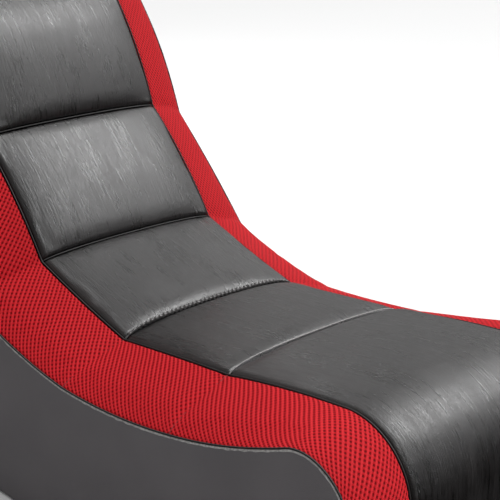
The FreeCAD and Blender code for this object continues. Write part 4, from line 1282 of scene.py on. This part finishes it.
@dataclass
class HiddenStuffing:
    """Foam, straps and covers: soft nodes that keep their outline and get a stuffed or creased form."""

    stuffed: dict[str, tuple[str, Finish, str]] = field(default_factory=lambda: {
        "back_core": ("back_stuffing", Finish.FOAM, "foam"),
        "seat_core": ("seat_stuffing", Finish.FOAM, "foam"),
    })
    woven: dict[str, tuple[str, Finish, str]] = field(default_factory=lambda: {
        "back_webbing": ("back_straps", Finish.WEBBING, "webbing"),
        "seat_webbing": ("seat_straps", Finish.WEBBING, "webbing"),
        "base_cover": ("base_cloth", Finish.DUST_CLOTH, "dust_cloth"),
        "heel_cover": ("heel_panel", Finish.VINYL, "grey_vinyl"),
        "back_cover": ("back_panel", Finish.VINYL, "grey_vinyl"),
        "zip_tape_upper": ("upper_tape", Finish.TAPE, "zip_tape"),
        "zip_tape_lower": ("lower_tape", Finish.TAPE, "zip_tape"),
    })
    voxel: float = 0.006
    smooth_rounds: int = 4
    smooth_share: float = 0.5
    longest_edge: float = 0.0192
    cuts: int = 3
    fill: float = 0.9
    uneven_height: float = 0.0007
    uneven_scale: float = 22.0
    ripple: float = 0.0004
    ripple_scale: Scale = (16.0, 11.0, 11.0)

    def stuff(self, node: str, name: str, finish: Finish, slot: str) -> None:
        """Builds one foam block: a rounded copy of its node with a softly uneven face.

        Args:
            node: The CAD node.
            name: The piece's name.
            finish: Its finish.
            slot: Not used.
        """
        piece = new_piece(name, copied(node, name), finish)
        remesh = piece.modifiers.new("remesh", "REMESH")
        remesh.mode, remesh.voxel_size = "VOXEL", self.voxel
        smooth = piece.modifiers.new("smooth", "SMOOTH")
        smooth.iterations, smooth.factor = self.smooth_rounds, self.smooth_share
        settle(piece)
        normals = [Vector(item.vector) for item in piece.data.vertex_normals]
        for vert, normal in zip(piece.data.vertices, normals):
            vert.co += normal * (noise.noise(vert.co * self.uneven_scale) - 0.4) * self.uneven_height
        seat_on(piece, slot, node)

    def weave(self, node: str, name: str, finish: Finish, slot: str) -> None:
        """Builds one sheet, strap set or tape: a divided copy of its node, pulled into faint waves."""
        mesh = copied(node, name)
        bm = bmesh.new()
        bm.from_mesh(mesh)
        bmesh.ops.triangulate(bm, faces=bm.faces)
        for _ in range(self.cuts):
            long_edges = [edge for edge in bm.edges if edge.calc_length() > self.longest_edge]
            if not long_edges:
                break
            bmesh.ops.subdivide_edges(bm, edges=long_edges, cuts=1)
            bmesh.ops.triangulate(bm, faces=[face for face in bm.faces if len(face.verts) > 3])
        for vert in bm.verts:
            vert.co.z += self.ripple * noise.noise(vert.co * Vector(self.ripple_scale))
        bm.to_mesh(mesh)
        bm.free()
        piece = new_piece(name, mesh, finish)
        mesh.set_sharp_from_angle(angle=CREASE_ANGLE)
        seat_on(piece, slot, node)

    def build(self) -> None:
        """Builds every hidden soft piece."""
        for node, (name, finish, slot) in self.stuffed.items():
            self.stuff(node, name, finish, slot)
        for node, (name, finish, slot) in self.woven.items():
            self.weave(node, name, finish, slot)


@dataclass
class Carried:
    """CAD nodes whose shape is right: they keep it and get their finish."""

    finishes: dict[str, Finish] = field(default_factory=lambda: {
        "rail": Finish.PLYWOOD,
        "side_board": Finish.PLYWOOD,
        "corner_blocks": Finish.PLYWOOD,
        "floor_strip": Finish.STRIP,
        "zip_stops": Finish.ZIP_METAL,
        "zip_slider": Finish.ZIP_METAL,
        "zip_pull": Finish.ZIP_METAL,
    })

    def dress(self) -> None:
        """Gives each node the finish whose word its name holds."""
        for name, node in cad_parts.items():
            for word, finish in self.finishes.items():
                if word in name:
                    node.data.materials.clear()
                    node.data.materials.append(finish.material())


@dataclass
class Studio:
    """Pale floor, soft lights and the camera of the photograph's view."""

    camera_place: Vector = field(default_factory=lambda: Vector((-0.9462, -1.1032, 0.7626)))
    azimuth: float = -43.535
    elevation: float = 18.447
    lens: float = 93.6
    sensor: float = 36.0
    clip: tuple[float, float] = (0.05, 60.0)
    backdrop: float = 0.96
    behind_way: tuple[float, float] = (0.8, 0.5)
    behind_span: tuple[float, float] = (-0.6, 0.9)
    above_span: tuple[float, float] = (-0.25, 0.10)
    room_low: float = 0.14
    room_high: float = 0.64
    broad_from: Vector = field(default_factory=lambda: Vector((0.52, -0.28, 0.80)))
    broad_edge: float = 0.68
    broad_core: float = 0.97
    broad_strength: float = 2.1
    gleam_energy: float = 4.6
    gleam_angle: float = 32.0
    rear_place: Vector = field(default_factory=lambda: Vector((0.4, 2.2, 1.8)))
    rear_aim: Vector = field(default_factory=lambda: Vector((0.0, 0.0, 0.3)))
    rear_size: tuple[float, float] = (2.0, 1.0)
    rear_power: float = 26.0
    floor_reach: float = 9.0

    def camera(self) -> None:
        """Makes the camera."""
        data = bpy.data.cameras.new("camera")
        data.lens, data.sensor_width = self.lens, self.sensor
        data.clip_start, data.clip_end = self.clip
        camera = bpy.data.objects.new("camera", data)
        bpy.context.scene.collection.objects.link(camera)
        a, e = math.radians(self.azimuth), math.radians(self.elevation)
        back = Vector((math.sin(a) * math.cos(e), -math.cos(a) * math.cos(e), math.sin(e)))
        camera.location = self.camera_place
        camera.rotation_mode = "QUATERNION"
        camera.rotation_quaternion = back.to_track_quat("Z", "Y")
        bpy.context.scene.camera = camera

    def lamp(self, name: str, kind: str, energy: float, back: Vector) -> bpy.types.Object:
        """Makes one light whose back faces a direction."""
        data = bpy.data.lights.new(name, kind)
        data.energy = energy
        light = bpy.data.objects.new(name, data)
        light.rotation_mode = "QUATERNION"
        light.rotation_quaternion = back.to_track_quat("Z", "Y")
        bpy.context.scene.collection.objects.link(light)
        return light

    def floor(self) -> None:
        """Makes the pale floor, which the leather doesn't mirror."""
        bm = bmesh.new()
        bmesh.ops.create_grid(bm, x_segments=1, y_segments=1, size=self.floor_reach)
        floor = new_piece("floor", mesh_from(bm, "floor"), Finish.FLOOR, smooth=False)
        floor.visible_glossy = False

    def surroundings(self) -> None:
        """Makes the white room: bright behind the chair and overhead, dim in front of it."""
        world = bpy.data.worlds.new("studio")
        bpy.context.scene.world = world
        shader = Shader(world, "Background")
        place = shader.node("ShaderNodeTexCoord", {}, {}, "Generated")
        x, y, z = shader.parts(place)
        behind = (y * self.behind_way[0] + z * self.behind_way[1]).between(*self.behind_span)
        above = z.between(*self.above_span)
        aim = self.broad_from.normalized()
        broad = (x * aim.x + y * aim.y + z * aim.z).between(self.broad_edge, self.broad_core)
        room = self.room_low + (self.room_high - self.room_low) * behind
        strength = room * above + broad * self.broad_strength
        seen = shader.node("ShaderNodeLightPath", {}, {}, "Is Camera Ray")
        strength = strength * (1.0 - seen) + seen * self.backdrop
        shader.feed(shader.surface.inputs["Color"], (1.0, 1.0, 1.0, 1.0))
        shader.feed(shader.surface.inputs["Strength"], strength)

    def light(self) -> None:
        """Makes the broad gleam on the leather and the softbox behind the chair."""
        bpy.context.scene.view_settings.view_transform = "Standard"
        gleam = self.lamp("gleam", "SUN", self.gleam_energy, self.broad_from)
        gleam.data.angle = math.radians(self.gleam_angle)
        gleam.visible_diffuse = False
        rear = self.lamp("rear_softbox", "AREA", self.rear_power, self.rear_place - self.rear_aim)
        rear.data.shape = "RECTANGLE"
        rear.data.size, rear.data.size_y = self.rear_size
        rear.location = self.rear_place

    def build(self) -> None:
        """Makes the whole studio."""
        self.camera()
        self.floor()
        self.surroundings()
        self.light()


def main() -> None:
    """Builds the studio and every piece."""
    logging.basicConfig(level=logging.INFO, format="%(message)s")
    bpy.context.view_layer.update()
    line = SittingLine()
    studio = Studio()
    studio.build()
    cushions = ChannelCushions(line)
    cushions.build()
    bands = MeshBands(line)
    bands.build()
    SidePanels(line, bands).build()
    SeamWelts(cushions, line).build()
    HiddenStuffing().build()
    Carried().dress()


if __name__ == "__main__":
    main()
